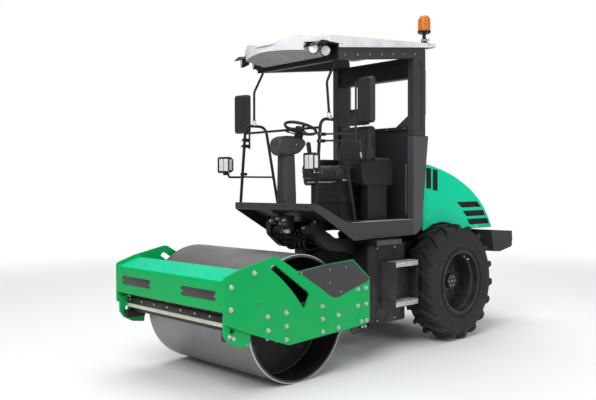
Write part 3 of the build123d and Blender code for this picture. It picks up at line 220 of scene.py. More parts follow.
def metal(name, colour, rough=0.3, streak=(80, 80, 80), strength=0.1, metallic=0.9, dark=0.75):
    """Bare steel with brushed or turned marks and soft blotches."""
    net = Net(name)
    marks = net.noise(1.0, 6, 0.65, net.stretched(streak))
    blotch = net.span(net.noise(4.5, 5, 0.6), 0.3, 0.72)
    body = net.mix(blotch, tinted(colour, dark), colour)
    body = net.mix(net.span(marks, 0.35, 0.75, 0.0, 0.5), body, tinted(colour, 1.25))
    gloss = net.span(marks, 0.2, 0.8, rough - 0.08, rough + 0.12)
    net.surface(body, gloss, net.bump(marks, strength, 0.0008, net.edge(0.002)[1]))
    net.set(Metallic=metallic)
    return net.mat


def rubber(name, colour, grain=260, rough=0.78, dust=0.35):
    """Moulded rubber: fine pores, scuffs and a little dry dust."""
    net = Net(name)
    scuff = net.span(net.noise(22, 6, 0.7), 0.45, 0.8)
    body = net.mix(net.maths("MULTIPLY", scuff, dust), colour, tinted(colour, 3.0))
    low = net.span(net.height(), 0.5, 0.0)
    body = net.mix(net.maths("MULTIPLY", low, scuff, dust), body, srgb(112, 106, 98))
    gloss = net.span(scuff, 0, 1, rough - 0.1, rough + 0.1)
    net.surface(body, gloss, net.bump(net.noise(grain, 3), 0.25, 0.0008, net.edge()[1]))
    return net.mat


def plastic(name, colour, grain=520, rough=0.5, strength=0.2, radius=0.002):
    """Moulded plastic with a leathery grain, and a painted highlight that lightens its edges."""
    net = Net(name)
    drift = net.span(net.noise(5, 4), 0.3, 0.7)
    edge, soft = net.edge(radius)
    body = net.mix(drift, tinted(colour, 0.88), tinted(colour, 1.12))
    # painted highlight: sharp edges are mixed a quarter of the way towards a lighter colour
    body = net.mix(net.maths("MULTIPLY", edge, 0.25), body, tinted(colour, 2.2))
    gloss = net.span(net.noise(30, 3), 0.2, 0.8, rough - 0.06, rough + 0.08)
    net.surface(body, gloss, net.bump(net.cells(grain), strength, 0.0007, soft))
    return net.mat


def vinyl(name, colour, weave=0.0):
    """Seat cover: leather grain, or a woven centre when weave is above zero."""
    net = Net(name)
    drift = net.span(net.noise(8, 4), 0.3, 0.7)
    body = net.mix(drift, tinted(colour, 0.8), tinted(colour, 1.25))
    grain = net.span(net.cells(330, "DISTANCE_TO_EDGE"), 0.0, 0.18)
    bump = net.bump(grain, 0.35, 0.0006)
    if weave:
        threads = net.wave(weave, "DIAGONAL")
        bump = net.bump(threads, 0.5, 0.0012, bump)
        body = net.mix(threads, tinted(colour, 0.7), body)
    net.surface(body, net.span(net.noise(40, 3), 0.2, 0.8, 0.42, 0.6), bump)
    net.set(Sheen_Weight=0.15, Sheen_Roughness=0.4)
    return net.mat


def lens(name, colour, ribs=190.0, glow=0.0):
    """Moulded lamp lens with fine ribs."""
    net = Net(name)
    wave = net.wave(ribs, "Z")
    body = net.mix(net.span(net.noise(30, 3), 0.3, 0.7), tinted(colour, 0.9), tinted(colour, 1.05))
    net.surface(body, net.span(wave, 0, 1, 0.04, 0.12), net.bump(wave, 0.25, 0.001))
    net.set(Transmission_Weight=0.3, IOR=1.49)
    if glow:
        net.set(Emission_Color=colour, Emission_Strength=glow)
    return net.mat


def mirror_glass(name, colour):
    """Silvered glass with a slight haze."""
    net = Net(name)
    net.link(net.span(net.noise(25, 4), 0.3, 0.8, 0.01, 0.05), net.bsdf.inputs["Roughness"])
    net.set(Base_Color=colour, Metallic=1.0)
    return net.mat


def tread_plate(name, colour):
    """Bright steel sheet with punched anti-slip cells."""
    net = Net(name)
    knob = net.span(net.cells(62), 0.25, 0.45, 1.0, 0.0)
    body = net.mix(knob, tinted(colour, 0.55), colour)
    net.surface(body, net.span(net.noise(60, 4), 0.2, 0.8, 0.3, 0.5), net.bump(knob, 0.6, 0.003))
    net.set(Metallic=0.3)
    return net.mat


RUBBED = srgb(104, 102, 100)
MATERIALS = {
    "green": paint("green_paint", srgb(0, 172, 90), coat=0.03, shine=0.12),
    # painted highlight: a lighter, bluer copy of the frame green for the front beam's upward faces
    "green_lit_top": paint("beam_top_painted_highlight", srgb(0, 205, 155), coat=0.03, shine=0.12),
    "hood": paint("hood_paint", srgb(0, 216, 165), 0.34, 0.06, 0.008, 0.12, 0.05, shine=0.12),
    "steel": metal("drum_steel", srgb(140, 138, 140), 0.42, (90, 2.2, 2.2), 0.1, 0.7),
    "edge": metal("drum_edge", grey(74, 4), 0.5, (30, 30, 30), 0.1, 0.6),
    "bright": metal("turned_edge", srgb(215, 216, 220), 0.28, (30, 4, 4), 0.06, 0.9),
    "zinc": metal("zinc_plate", srgb(196, 198, 200), 0.3, (120, 120, 120), 0.05, 0.85),
    "chrome": metal("chrome_rod", srgb(225, 226, 230), 0.1, (200, 3, 200), 0.02, 1.0, 0.95),
    "reflector": metal("lamp_reflector", srgb(230, 232, 236), 0.12, (60, 60, 60), 0.02, 1.0, 0.95),
    "black": paint("black_paint", grey(24, 2), 0.4, 0.08, 0.03, 0.4, 0.3, RUBBED),
    "chassis": paint("chassis_paint", grey(30, 3), 0.45, 0.05, 0.05, 0.4, 0.35, RUBBED),
    "inside": paint("inner_paint", grey(44, 2), 0.45, 0.05, 0.04, 0.2, 0.05, RUBBED),
    # dark inside paint; on the roof's deeper underside and the frame's faces under the roof it is painted
    # shade
    "dark_inside_and_shade": paint("inside_paint_and_painted_shade", grey(26, 2), 0.5, 0.03, 0.05, 0.2, 0.05, RUBBED),
    "dark_grey": paint("platform_paint", grey(58, 3), 0.42, 0.06, 0.05, 0.35, 0.1),
    "step_paint": paint("step_paint", grey(42, 3), 0.45, 0.05, 0.05, 0.4, 0.3, RUBBED),
    # painted light: light grey for the floor by the entrance, where it is lit and its rim reflects
    "lit_entry_grey": paint("entry_floor_painted_light", srgb(176, 178, 181), 0.4, 0.05, 0.05, 0.3, 0.1),
    "pillar": paint("pillar_paint", grey(76, 4), 0.42, 0.08, 0.05, 0.35, 0.1),
    "cast": paint("cast_paint", grey(48, 3), 0.5, 0.05, 0.4, 0.4, 0.3),
    "rim": paint("rim_paint", grey(42, 4), 0.42, 0.1, 0.05, 0.4, 0.3, RUBBED),
    "tyre": rubber("tyre_rubber", grey(20, 2)),
    "hose": rubber("hose_rubber", grey(20, 1), 400, 0.6, 0.15),
    "mat": rubber("floor_mat", grey(30, 2), 120, 0.8, 0.3),
    "panel": plastic("dark_panel", srgb(50, 47, 50), 700, 0.42, 0.08),
    "roof": plastic("roof_moulding", srgb(226, 228, 230), 300, 0.38, 0.05, 0.008),
    # painted shade: mid grey for the downward faces under the roof's front lip
    "roof_front_shade": plastic("underside_painted_shade_grey", srgb(128, 130, 134), 300, 0.5, 0.08, 0.006),
    "plastic": plastic("black_plastic", grey(28, 2)),
    "pod": plastic("pod_plastic", grey(54, 4)),
    "cream": plastic("wiper_strip", srgb(214, 211, 196), 400, 0.55, 0.1),
    "white": plastic("white_fitting", srgb(222, 224, 226), 300, 0.4, 0.05),
    "display": plastic("display_glass", srgb(16, 20, 24), 60, 0.12, 0.01),
    "vinyl": vinyl("seat_vinyl", grey(30, 3)),
    "cloth": vinyl("seat_cloth", grey(46, 5), 130.0),
    "webbing": vinyl("belt_webbing", grey(36, 4), 420.0),
    "lens": lens("clear_lens", srgb(244, 247, 250), glow=0.12),
    "amber": lens("amber_lens", srgb(232, 128, 20), 120.0),
    "red": lens("red_lens", srgb(170, 18, 16), 160.0),
    "mirror": mirror_glass("mirror_glass", srgb(205, 212, 216)),
    "tread": tread_plate("step_tread", srgb(226, 227, 229)),
}


# Shapes


class Shape:
    """Mesh being gathered from simple turned, swept and cut forms."""

    def __init__(self):
        self.verts, self.faces, self.slots, self.names = [], [], [], []

    def add(self, verts, faces, name, matrix=None):
        if name not in self.names:
            self.names.append(name)
        start, slot = len(self.verts), self.names.index(name)
        self.verts += [matrix @ Vector(v) if matrix else Vector(v) for v in verts]
        self.faces += [[start + i for i in face] for face in faces]
        self.slots += [slot] * len(faces)

    def mesh(self, made, name, matrix=None):
        """Everything in a bmesh, which is freed."""
        made.verts.index_update()
        verts = [v.co.copy() for v in made.verts]
        faces = [[v.index for v in face.verts] for face in made.faces]
        made.free()
        self.add(verts, faces, name, matrix)

    def box(self, low, high, name, bevel=0.002, matrix=None):
        """Block with chamfered edges between two opposite corners."""
        mid = (Vector(low) + Vector(high)) / 2
        half = Vector(map(abs, (Vector(high) - Vector(low)) / 2))
        cut = min(bevel, *(h * 0.45 for h in half))
        made = bmesh.new()
        bmesh.ops.create_cube(made, size=2.0)
        for vert in made.verts:
            vert.co = Vector(a * b for a, b in zip(vert.co, half))
        bmesh.ops.bevel(made, geom=made.edges[:], offset=cut, segments=2, affect="EDGES", profile=0.5)
        self.mesh(made, name, (matrix or Matrix()) @ Matrix.Translation(mid))

    def loft(self, rings, name, closed=False, capped=False, matrix=None):
        """Skin over rings of equally many points."""
        total, count, faces = len(rings), len(rings[0]), []
        for i in range(total if closed else total - 1):
            for k in range(count):
                a, b = i * count, (i + 1) % total * count
                faces.append([a + k, a + (k + 1) % count, b + (k + 1) % count, b + k])
        if capped:
            faces.append(list(range(count))[::-1])
            faces.append([(total - 1) * count + k for k in range(count)])
        self.add([vert for ring in rings for vert in ring], faces, name, matrix)

    def lathe(self, profile, start, axis, name, count=32, matrix=None):
        """Profile of places along the axis and radii, turned about it."""
        z = Vector(axis).normalized()
        x = z.orthogonal().normalized()
        y = z.cross(x)
        rings = []
        for along, radius in profile:
            middle = Vector(start) + z * along
            rings.append([middle + (x * c + y * s) * max(radius, 1e-5) for c, s in around(count, 1)])
        self.loft(rings, name, matrix=matrix)

    def rod(self, start, end, radius, name, count=16, bevel=0.0, matrix=None):
        """Capped round bar."""
        start, end = Vector(start), Vector(end)
        length = (end - start).length
        cut = min(bevel, radius * 0.4, length * 0.4)
        profile = [(0, 0), (0, radius - cut), (length, radius - cut), (length, 0)]
        if cut:
            profile[2:2] = [(cut, radius), (length - cut, radius)]
        self.lathe(profile, start, end - start, name, count, matrix)

    def tube(self, points, radius, name, count=10, closed=False):
        """Round bar along a path, of one radius or one that a function gives."""
        points = [Vector(p) for p in points]
        total = len(points)
        rings, side = [], None
        for i, point in enumerate(points):
            if closed:
                ahead, behind = points[(i + 1) % total], points[i - 1]
            else:
                ahead, behind = points[min(i + 1, total - 1)], points[max(i - 1, 0)]
            heading = (ahead - behind).normalized()
            side = heading.orthogonal() if side is None else side - heading * side.dot(heading)
            side.normalize()
            over = heading.cross(side)
            r = radius(i / (total - 1)) if callable(radius) else radius
            rings.append([point + (side * c + over * s) * r for c, s in around(count, 1)])
        self.loft(rings, name, closed, not closed)

    def sheet(self, outline, normal, thick, name):
        """Flat outline given a thickness along its normal."""
        outline = [Vector(p) for p in outline]
        lift = Vector(normal).normalized() * thick
        total = len(outline)
        triangles = tessellate_polygon([outline])
        verts = outline + [p + lift for p in outline]
        faces = [list(t) for t in triangles] + [[i + total for i in reversed(t)] for t in triangles]
        faces += [[i, (i + 1) % total, (i + 1) % total + total, i + total] for i in range(total)]
        self.add(verts, faces, name)

    def bolt(self, place, axis, size, name="zinc", washer=True, matrix=None):
        """Hexagon head on a washer; size is the head's width across corners."""
        place, axis = Vector(place), Vector(axis).normalized()
        r, height, base = size / 2, size * 0.36, 0.0
        if washer:
            base = size * 0.09
            ring = [(0, r * 1.28), (base * 0.7, r * 1.28), (base, r * 1.18), (base, 0)]
            self.lathe(ring, place, axis, name, 20, matrix)
        head = [(base - 0.001, r), (base + height * 0.8, r), (base + height, r * 0.82), (base + height, 0)]
        self.lathe(head, place, axis, name, 6, matrix)

    def bolts(self, places, axis, size, name="zinc", washer=True):
        """Like bolts at places given in millimetres from the drum's axle."""
        for place in places:
            self.bolt(at(*place), axis, size, name, washer)

    def slab(self, corners, low_x, high_x, name, bevel=0.004, soft=lambda middle: True):
        """Side outline of corners with radii, given a width and soft rims."""
        made = extruded(closed_outline(corners), low_x, high_x)
        if bevel:
            rims = [edge for edge in made.edges if abs(edge.verts[0].co.x - edge.verts[1].co.x) < 1e-6
                    and soft((edge.verts[0].co + edge.verts[1].co) / 2)]
            bmesh.ops.bevel(made, geom=rims, offset=bevel, segments=4, affect="EDGES", profile=0.5)
        self.mesh(made, name)

    def mirrored(self):
        """The same shape with its mirror image added."""
        start = len(self.verts)
        self.verts += [Vector((-v.x, v.y, v.z)) for v in self.verts]
        self.faces += [[start + i for i in reversed(face)] for face in self.faces]
        self.slots += self.slots[:]
        return self


def bent(before, here, after, reach, steps=6):
    """Curve that replaces the corner here, starting and ending at that reach."""
    a = here + (before - here).normalized() * reach
    b = here + (after - here).normalized() * reach
    return [a.lerp(here, k / steps).lerp(here.lerp(b, k / steps), k / steps) for k in range(steps + 1)]


def closed_outline(corners):
    """Outline in millimetres with each corner of (y, z, radius) rounded."""
    total, out = len(corners), []
    for i, (y, z, radius) in enumerate(corners):
        here = Vector((y, z))
        if not radius:
            out.append((y, z))
            continue
        before, after = Vector(corners[i - 1][:2]), Vector(corners[(i + 1) % total][:2])
        reach = min(radius, (before - here).length * 0.48, (after - here).length * 0.48)
        out += [(spot.x, spot.y) for spot in bent(before, here, after, reach)]
    return out


def rounded(points, bend, steps=6):
    """Path with each inner corner turned into an arc of about that bend."""
    points = [Vector(p) for p in points]
    out = [points[0]]
    for before, here, after in zip(points, points[1:], points[2:]):
        reach = min(bend, (before - here).length * 0.48, (after - here).length * 0.48)
        out += bent(before, here, after, reach, steps)
    return out + [points[-1]]


def curve_points(points, count=40):
    """Smooth line through points, for hoses held at both ends."""
    points = [Vector(p) for p in points]
    spans = len(points) - 1
    padded = [points[0] * 2 - points[1]] + points + [points[-1] * 2 - points[-2]]
    out = []
    for i in range(count + 1):
        place = min(i / count * spans, spans - 1e-6)
        k = int(place)
        t = place - k
        a, b, c, d = padded[k:k + 4]
        square, cube = 2 * a - 5 * b + 4 * c - d, 3 * b - a - 3 * c + d
        out.append(0.5 * (2 * b + (c - a) * t + square * t * t + cube * t ** 3))
    return out


def extruded(outline, low_x, high_x):
    """Closed bmesh of a side outline given a width, all in millimetres."""
    made = bmesh.new()
    rows = [[made.verts.new(at(x, y, z)) for y, z in outline] for x in (low_x, high_x)]
    made.faces.new(rows[0])
    made.faces.new(rows[1][::-1])
    total = len(outline)
    for i in range(total):
        j = (i + 1) % total
        made.faces.new((rows[0][i], rows[1][i], rows[1][j], rows[0][j]))
    bmesh.ops.recalc_face_normals(made, faces=made.faces)
    return made


def placed(name, data):
    """New object of some data, in the scene."""
    obj = bpy.data.objects.new(name, data)
    bpy.context.scene.collection.objects.link(obj)
    return obj


def finish_mesh(obj, angle=0.6):
    """Join doubled points, turn faces outward and shade smooth between sharp edges."""
    mesh = obj.data
    made = bmesh.new()
    made.from_mesh(mesh)
    bmesh.ops.remove_doubles(made, verts=made.verts, dist=1e-5)
    bmesh.ops.dissolve_degenerate(made, edges=made.edges, dist=1e-6)
    bmesh.ops.recalc_face_normals(made, faces=made.faces)
    made.to_mesh(mesh)
    made.free()
    mesh.polygons.foreach_set("use_smooth", [True] * len(mesh.polygons))
    mesh.set_sharp_from_angle(angle=angle)
    mesh.update()


def loose(name, shape, angle=0.6):
    """Object of a gathered shape that rides on nothing yet."""
    mesh = bpy.data.meshes.new(name)
    mesh.from_pydata([tuple(v) for v in shape.verts], [], shape.faces)
    for slot in shape.names:
        mesh.materials.append(MATERIALS[slot])
    mesh.polygons.foreach_set("material_index", shape.slots)
    obj = placed(name, mesh)
    finish_mesh(obj, angle)
    return obj


def piece(name, shape, body, angle=0.6):
    """Object of a gathered shape, riding on a body."""
    obj = loose(name, shape, angle)
    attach(obj, body)
    return obj


def apply_modifier(obj, modifier):
    """Put a modifier's result into the mesh."""
    graph = bpy.context.evaluated_depsgraph_get()
    mesh = bpy.data.meshes.new_from_object(obj.evaluated_get(graph))
    obj.modifiers.remove(modifier)
    old = obj.data
    obj.data = mesh
    bpy.data.meshes.remove(old)


def subtract(obj, shape):
    """Cut a gathered shape out of an object."""
    tool = loose("cutter", shape)
    cut = obj.modifiers.new("cut", "BOOLEAN")
    cut.operation, cut.solver, cut.object = "DIFFERENCE", "MANIFOLD", tool
    apply_modifier(obj, cut)
    bpy.data.objects.remove(tool)


def dress(node, default, rules=()):
    """Materials of a CAD node: a default, and others where a rule holds."""
    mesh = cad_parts[node].data
    mesh.materials.clear()
    for name in [default] + [name for name, rule in rules]:
        mesh.materials.append(MATERIALS[name])
    for face in mesh.polygons:
        spot = face.center * 1000 - Vector((0, DRUM_Y, 0))
        face.material_index = 0
        for index, (name, rule) in enumerate(rules, start=1):
            if rule(spot, face.normal):
                face.material_index = index


# Drum frame and drum


def plate_bolts():
    """Bright bolt heads on both side plates."""
    places = [
        (-505, 920), (-717, 836), (-723, 676), (-377, 584), (-373, 479), (-190, 590), (-190, 487),
        (-190, 383), (199, 593), (204, 489), (204, 387), (385, 497), (385, 394), (624, 686),
        (726, 688), (624, 546), (726, 551), (668, 409), (732, 409),
    ]
    shape = Shape()
    shape.bolts([(PLATE, y, z) for y, z in places], LEFT, 0.03)
    for y, z in ((-470, 690), (-58, 871)):
        shape.rod(at(PLATE - 1, y, z), at(PLATE + 3, y, z), 0.006, "black", 12)
    return shape.mirrored()


def plate_panels():
    """Dark panel on each side plate, with its small fixings."""
    edge = [
        (-58, 887), (66, 808), (177, 741), (262, 682), (291, 664), (314, 652), (338, 646), (372, 645),
        (409, 650), (531, 687), (656, 717), (765, 749), (767, 766), (586, 914), (574, 927), (556, 934),
        (234, 919), (60, 901), (-30, 892),
    ]
    stud = [(0.001, 0.006), (0.003, 0.005), (0.004, 0.003), (0.004, 0)]
    shape = Shape()
    shape.sheet([at(PLATE, y, z) for y, z in edge], LEFT, 0.0016, "panel")
    for y, z in ((-30, 880), (287, 876), (477, 884), (286, 774), (416, 687)):
        shape.lathe(stud, at(PLATE, y, z), LEFT, "zinc", 14)
    return shape.mirrored()


def beam_trim():
    """Dark infills of the front beam's recesses and small fixings on its slope."""
    shape = Shape()
    for side in (-1, 1):
        shape.box(at(side * 219, -777.2, 732), at(side * 648, -774, 803), "panel", 0.0012)
        for x in sorted((side * 233, side * 634)):
            shape.rod(at(x, -778.6, 767), at(x, -776, 767), 0.005, "zinc", 10)
    stud = [(-0.002, 0.011), (0.003, 0.011), (0.006, 0.007), (0.006, 0)]
    slope = Vector((0, -0.29, 0.957)).normalized()
    for k in range(4):
        # the studs on the slope take the beam top's painted highlight
        shape.lathe(stud, at(-430 + 287 * k, -690, 905.5), slope, "green_lit_top", 6)
    return shape


def scraper_trim():
    """Bolts, segmented wiper strip and end brackets of the front scraper."""
    shape = Shape()
    shape.bolts([(-630 + 210 * k, -680, 628) for k in range(7)], FRONT, 0.024, "black")
    shape.box(at(-722, -697, 556), at(722, -690, 612), "black", 0.0015)
    for k in range(9):
        x = -720 + 160 * k
        shape.box(at(x + 2, -698.5, 528), at(x + 158, -691.6, 558), "cream", 0.0018)
    shape.bolts([(-665 + 190 * k, -697.2, 592) for k in range(8)], FRONT, 0.02, "zinc", False)
    shape.box(at(-722, -699, 522), at(722, -688, 529), "black", 0.0015)
    for side in (-1, 1):
        shape.box(at(side * 648, -704, 600), at(side * 708, -672, 650), "black", 0.004)
        shape.bolts([(side * x, -704, 626) for x in (664, 692)], FRONT, 0.02)
    return shape


def tab_trim():
    """Bolts and the ring edge of both lashing plates."""
    shape = Shape()
    shape.bolts([(735, -722, 480), (735, -684, 461)], LEFT, 0.026)
    shape.box(at(650, -735, 436), at(708, -560, 500), "black", 0.006)
    ring = [at(736, -700 + c, 518 + s) for c, s in around(28, 25)]
    shape.tube(ring, 0.004, "green", 8, True)
    for y, z in ((-748, 600), (-560, 600), (-560, 400)):
        shape.rod(at(734, y, z), at(738, y, z), 0.006, "zinc", 12)
    return shape.mirrored()


def rear_loop():
    """Small lashing loop under each plate's rear lower corner."""
    shape = Shape()
    corners = [(560, 372), (560, 312), (700, 318), (735, 372), (735, 392)]
    path = rounded([at(742, y, z) for y, z in corners], 0.03)
    shape.tube([at(742, 560, 384)] + path, 0.0075, "black", 10)
    shape.box(at(722, 655, 352), at(758, 742, 366), "black", 0.003)
    shape.bolts([(758, 676, 359), (758, 716, 359)], LEFT, 0.018)
    return shape.mirrored()


def weld_seams():
    """Fillet welds where the beams meet the side plates."""
    shape = Shape()
    seams = [
        [(-771, 662), (-772, 872), (-758, 888), (-560, 948)],
        [(742, 425), (742, 696)],
        [(645, 700), (738, 701)],
    ]
    for seam in seams:
        line = rounded([at(734, y, z) for y, z in seam], 0.02)
        fine = []
        for a, b in zip(line, line[1:]):
            steps = max(1, int((b - a).length / 0.006))
            fine += [a.lerp(b, k / steps) for k in range(steps)]
        fine.append(line[-1])
        shape.tube(fine, lambda t: 0.0065 + 0.0009 * math.sin(t * len(fine) * 1.9), "green", 8)
    return shape.mirrored()


def housing_bolts():
    """Cap bolts round the roll shaft's bearing and its grease nipple."""
    shape = Shape()
    shape.bolts([(c, 643.8, SHAFT_Z + s) for c, s in around(8, 108, 0.5)], FRONT, 0.022, "zinc", False)
    shape.rod(at(0, 700, 664), at(0, 700, 684), 0.006, "zinc", 10, 0.002)
    return shape


def carrier_bolts():
    """Bolts that hold the drum carriers' plates and rubber buffers."""
    shape = Shape()
    for c, s in around(6, 1):
        shape.bolt(at(716, 168 * c, DRUM_R + 104 * s), (-1, 0, 0), 0.026)
    shape.bolts([(717, y, z) for y in (-195, 195) for z in (400, 620)], (-1, 0, 0), 0.024)
    return shape.mirrored()


def drum_details():
    """Bright turned edges, web bolts and weld rings of the drum."""
    shape = Shape()
    centre = at(0, 0, DRUM_R)
    rim = [
        (-0.0055, 0.5097), (-0.002, 0.5094), (0.0003, 0.5074), (0.0006, 0.5066), (0.0006, 0.5022),
        (-0.001, 0.5016),
    ]
    weld = [(0, 0.4852), (0.003, 0.4835), (0.01, 0.477), (0.0005, 0.474)]
    cover = [(0, 0.058), (0.008, 0.058), (0.01, 0.05), (0.004, 0.046), (0.004, 0)]
    for side in (-1, 1):
        end, web = side * 0.685, side * 0.430
        shape.lathe([(end + side * x, r) for x, r in rim], centre, LEFT, "bright", 128)
        shape.lathe([(web + side * x, r) for x, r in weld], centre, LEFT, "steel", 96)
        face = Vector((web, centre.y, centre.z))
        for c, s in around(12, 1):
            shape.bolt(face + Vector((0, c, s)) * 0.215, (side, 0, 0), 0.026)
        for c, s in around(4, 1, 0.5):
            spot = face + Vector((0, c, s)) * 0.36
            shape.lathe([(side * x, r) for x, r in cover], spot, LEFT, "chassis", 28)
    return shape


# Rear frame


def knuckle_trim():
    """Cap bolts at both ends of the steering pin, and a grease nipple."""
    shape = Shape()
    for z, way in ((752.2, 1), (327.8, -1)):
        shape.bolts([(c, PIN_Y + s, z) for c, s in around(6, 26)], (0, 0, way), 0.014, "zinc", False)
    shape.rod(at(82, PIN_Y, 560), at(96, PIN_Y, 560), 0.006, "zinc", 10, 0.002)
    return shape


def ear_trim():
    """Bolts round both fork ears, and the frame's cross bolts."""
    shape = Shape()
    for z, way in ((736, 1), (344, -1)):
        shape.bolts([(c, PIN_Y + s, z) for c, s in around(8, 84, 0.5)], (0, 0, way), 0.022, "zinc", False)
    for side in (-1, 1):
        shape.bolts([(side * 298, y, 940) for y in (1200, 1320, 1440, 1560)], (-side, 0, 0), 0.024)
        shape.bolts([(side * 325, y, 960) for y in (2660, 2760, 2860, 2930)], (side, 0, 0), 0.026)
    return shape


def union(shape, x, y, z, steps):
    """Stepped hose union that points forward, each step with its own look."""
    for start, end, radius, sides, bevel in steps:
        shape.rod(at(x, y + start, z), at(x, y + end, z), radius, "zinc", sides, bevel)


def hose(shape, points, count, radius):
    """Hose held at both ends, through points from the drum's axle."""
    shape.tube(curve_points([at(*point) for point in points], count), radius, "hose", 10)


def hydraulics():
    """Hoses, pipes and unions under the platform's nose and over the knuckle."""
    shape = Shape()
    shape.box(at(-62, 450, 1165), at(62, 548, 1292), "cast", 0.01)
    drain = [(0, 0.05), (0.03, 0.05), (0.034, 0.044), (0.034, 0)]
    shape.lathe(drain, at(0, 499, 1165), (0, 0, -1), "zinc", 32)
    for x, y, z in ((-45, 449, 1262), (42, 449, 1250), (-150, 462, 1240), (170, 560, 1180), (215, 600, 1150)):
        union(shape, x, y, z, [(16, -14, 0.017, 6, 0.003), (-14, -30, 0.011, 14, 0.002)])
    shape.box(at(-190, 470, 1205), at(-110, 560, 1275), "cast", 0.008)
    shape.box(at(140, 560, 1120), at(240, 660, 1205), "cast", 0.01)
    for k in range(4):
        x, z = -42 + 28 * k, 1190 + 22 * (k % 2)
        shape.rod(at(x, 452, z), at(x, 428, z), 0.012, "zinc", 6, 0.002)
        hose(shape, [
            (x, 430, z), (x, 402, 1180), (x * 1.4, 405, 1140), (x * 1.9, 470, 1095), (x * 2.2, 600, 1078),
            (x * 2.4, 690, 1060),
        ], 40, 0.009)
    bracket = [(520, 1292, 0), (700, 1206, 0), (700, 1100, 8), (600, 1100, 8)]
    for side in (-1, 1):
        shape.slab(bracket, side * 300 - 4, side * 300 + 4, "chassis", 0.001)
        for y, z in ((560, 1240), (620, 1180), (660, 1130)):
            shape.bolt(at(side * 304, y, z), (side, 0, 0), 0.02)
    for k in range(5):
        x, drop = -127 + 60 * k, 22 * math.sin(k * 1.7)
        shape.rod(at(x, 700, 1085), at(x, 676, 1085), 0.013, "zinc", 6, 0.002)
        shape.rod(at(x, 680, 1085), at(x, 655, 1083), 0.010, "zinc", 12, 0.002)
        hose(shape, [
            (x, 658, 1083), (x - 3, 625, 1072), (x + 8, 604, 1020 + drop / 2),
            (x * 0.9, 660, 975 + drop * 0.3), (x * 0.8, 800, 985), (x * 0.62, 950, 1000),
            (x * 0.5, 1090, 985),
        ], 46, 0.0105)
    run = [
        (272, 690, 1168), (250, 650, 1130), (236, 632, 1075), (225, 680, 1035), (200, 800, 1022),
        (180, 1000, 1015), (170, 1088, 1000),
    ]
    for side in (-1, 1):
        hose(shape, [(side * x, y, z) for x, y, z in run], 44, 0.013)
        shape.rod(at(side * 272, 690, 1150), at(side * 272, 690, 1212), 0.016, "zinc", 6, 0.002)
        shape.rod(at(side * 170, 1084, 1000), at(side * 170, 1101, 1000), 0.018, "zinc", 6, 0.002)
    return shape


def tank_trim():
    """Clamps, drain plugs and seams of both side tanks, and the shelf's edge."""
    shape = Shape()
    for y in (1170, 1420):
        shape.box(at(499, y - 14, 290), at(502.5, y + 14, 1000), "black", 0.001)
        shape.bolts([(502, y, 310), (502, y, 980)], LEFT, 0.018, "zinc", False)
    shape.box(at(600, 1056, 1018), at(603, 1404, 1058), "pillar", 0.0015)
    shape.bolts([(603, y, 1038) for y in (1090, 1230, 1370)], LEFT, 0.016, "black", False)
    shape.rod(at(420, 1300, 276), at(420, 1300, 264), 0.016, "zinc", 6, 0.003)
    return shape.mirrored()


def tank_cap():
    """Filler cap on the right shelf."""
    shape = Shape()
    spot = at(-545, 1150, 1064)
    shape.lathe([(0, 0.046), (0.012, 0.046), (0.014, 0.04)], spot, UP, "black", 36)
    shape.lathe([(0.012, 0.052), (0.034, 0.05), (0.04, 0.044), (0.042, 0)], spot, UP, "plastic", 24)
    for c, s in around(12, 0.051):
        rib = spot + Vector((c, s, 0.014))
        shape.rod(rib, rib + Vector((0, 0, 0.02)), 0.0035, "plastic", 8)
    return shape


def step_sets():
    """Carrier plates with bent wings, and punched bright treads between them."""
    cup = [(0, 0.0125), (0.0012, 0.0095), (0.0012, 0.0055), (0.0005, 0.005)]
    shape = Shape()
    shape.box(at(500, 1229, 400), at(507, 1640, 850), "step_paint", 0.002)
    wing = [at(506, 1229, 0), at(618, 1300, 0), at(618, 1307, 0), at(506, 1237, 0)]
    shape.sheet([spot + Vector((0, 0, 0.43)) for spot in wing], UP, 0.42, "step_paint")
    shape.box(at(506, 1632, 430), at(618, 1640, 850), "step_paint", 0.002)
    for low in (430, 800):
        top = low + 50
        shape.box(at(506, 1303, low), at(618, 1309, top - 3), "tread", 0.0015)
        shape.box(at(503, 1303, top - 6), at(620, 1636, top - 1), "tread", 0.0015)
        shape.box(at(614, 1303, low), at(620, 1636, top - 1), "tread", 0.0015)
        for row in range(3):
            for k in range(9):
                spot = at(525 + row * 34, 1322 + k * 37 + (row % 2) * 12, top - 1.4)
                shape.lathe(cup, spot, UP, "tread", 12)
                shape.lathe([(0.0006, 0.0052), (0.0008, 0)], spot, UP, "chassis", 12)
    shape.bolts([(507, y, z) for y in (1350, 1580) for z in (540, 720)], LEFT, 0.024, "black")
    return shape.mirrored()


# Wheels


def tyre_shape(side):
    """Lugged tyre with a moulded sidewall, on the side's wheel."""
    shape = Shape()
    centre = at(side * WHEEL_X, AXLE, TYRE_R)
    wall = [
        (-125, 306), (-133, 318), (-141, 330), (-139, 342), (-146, 356), (-154, 400), (-157, 440),
        (-157, 470), (-154, 498), (-149, 515), (-143, 526), (-132, 537), (-112, 546), (-70, 551),
    ]
    profile = wall + [(0, 553)] + [(-x, r) for x, r in reversed(wall)]
    shape.lathe([(x / 1000, r / 1000) for x, r in profile], centre, LEFT, "tyre", 120)
    for bead, radius in ((0.147, 0.35), (0.1564, 0.43)):
        for hand in (-1, 1):
            ring = [centre + Vector((hand * bead, c, s)) for c, s in around(96, radius)]
            shape.tube(ring, 0.0035, "tyre", 6, True)
    for k in range(LUGS):
        for hand in (-1, 1):
            lug(shape, centre, 2 * math.pi / LUGS * (k + 0.25 * (hand + 1)), hand)
    return shape


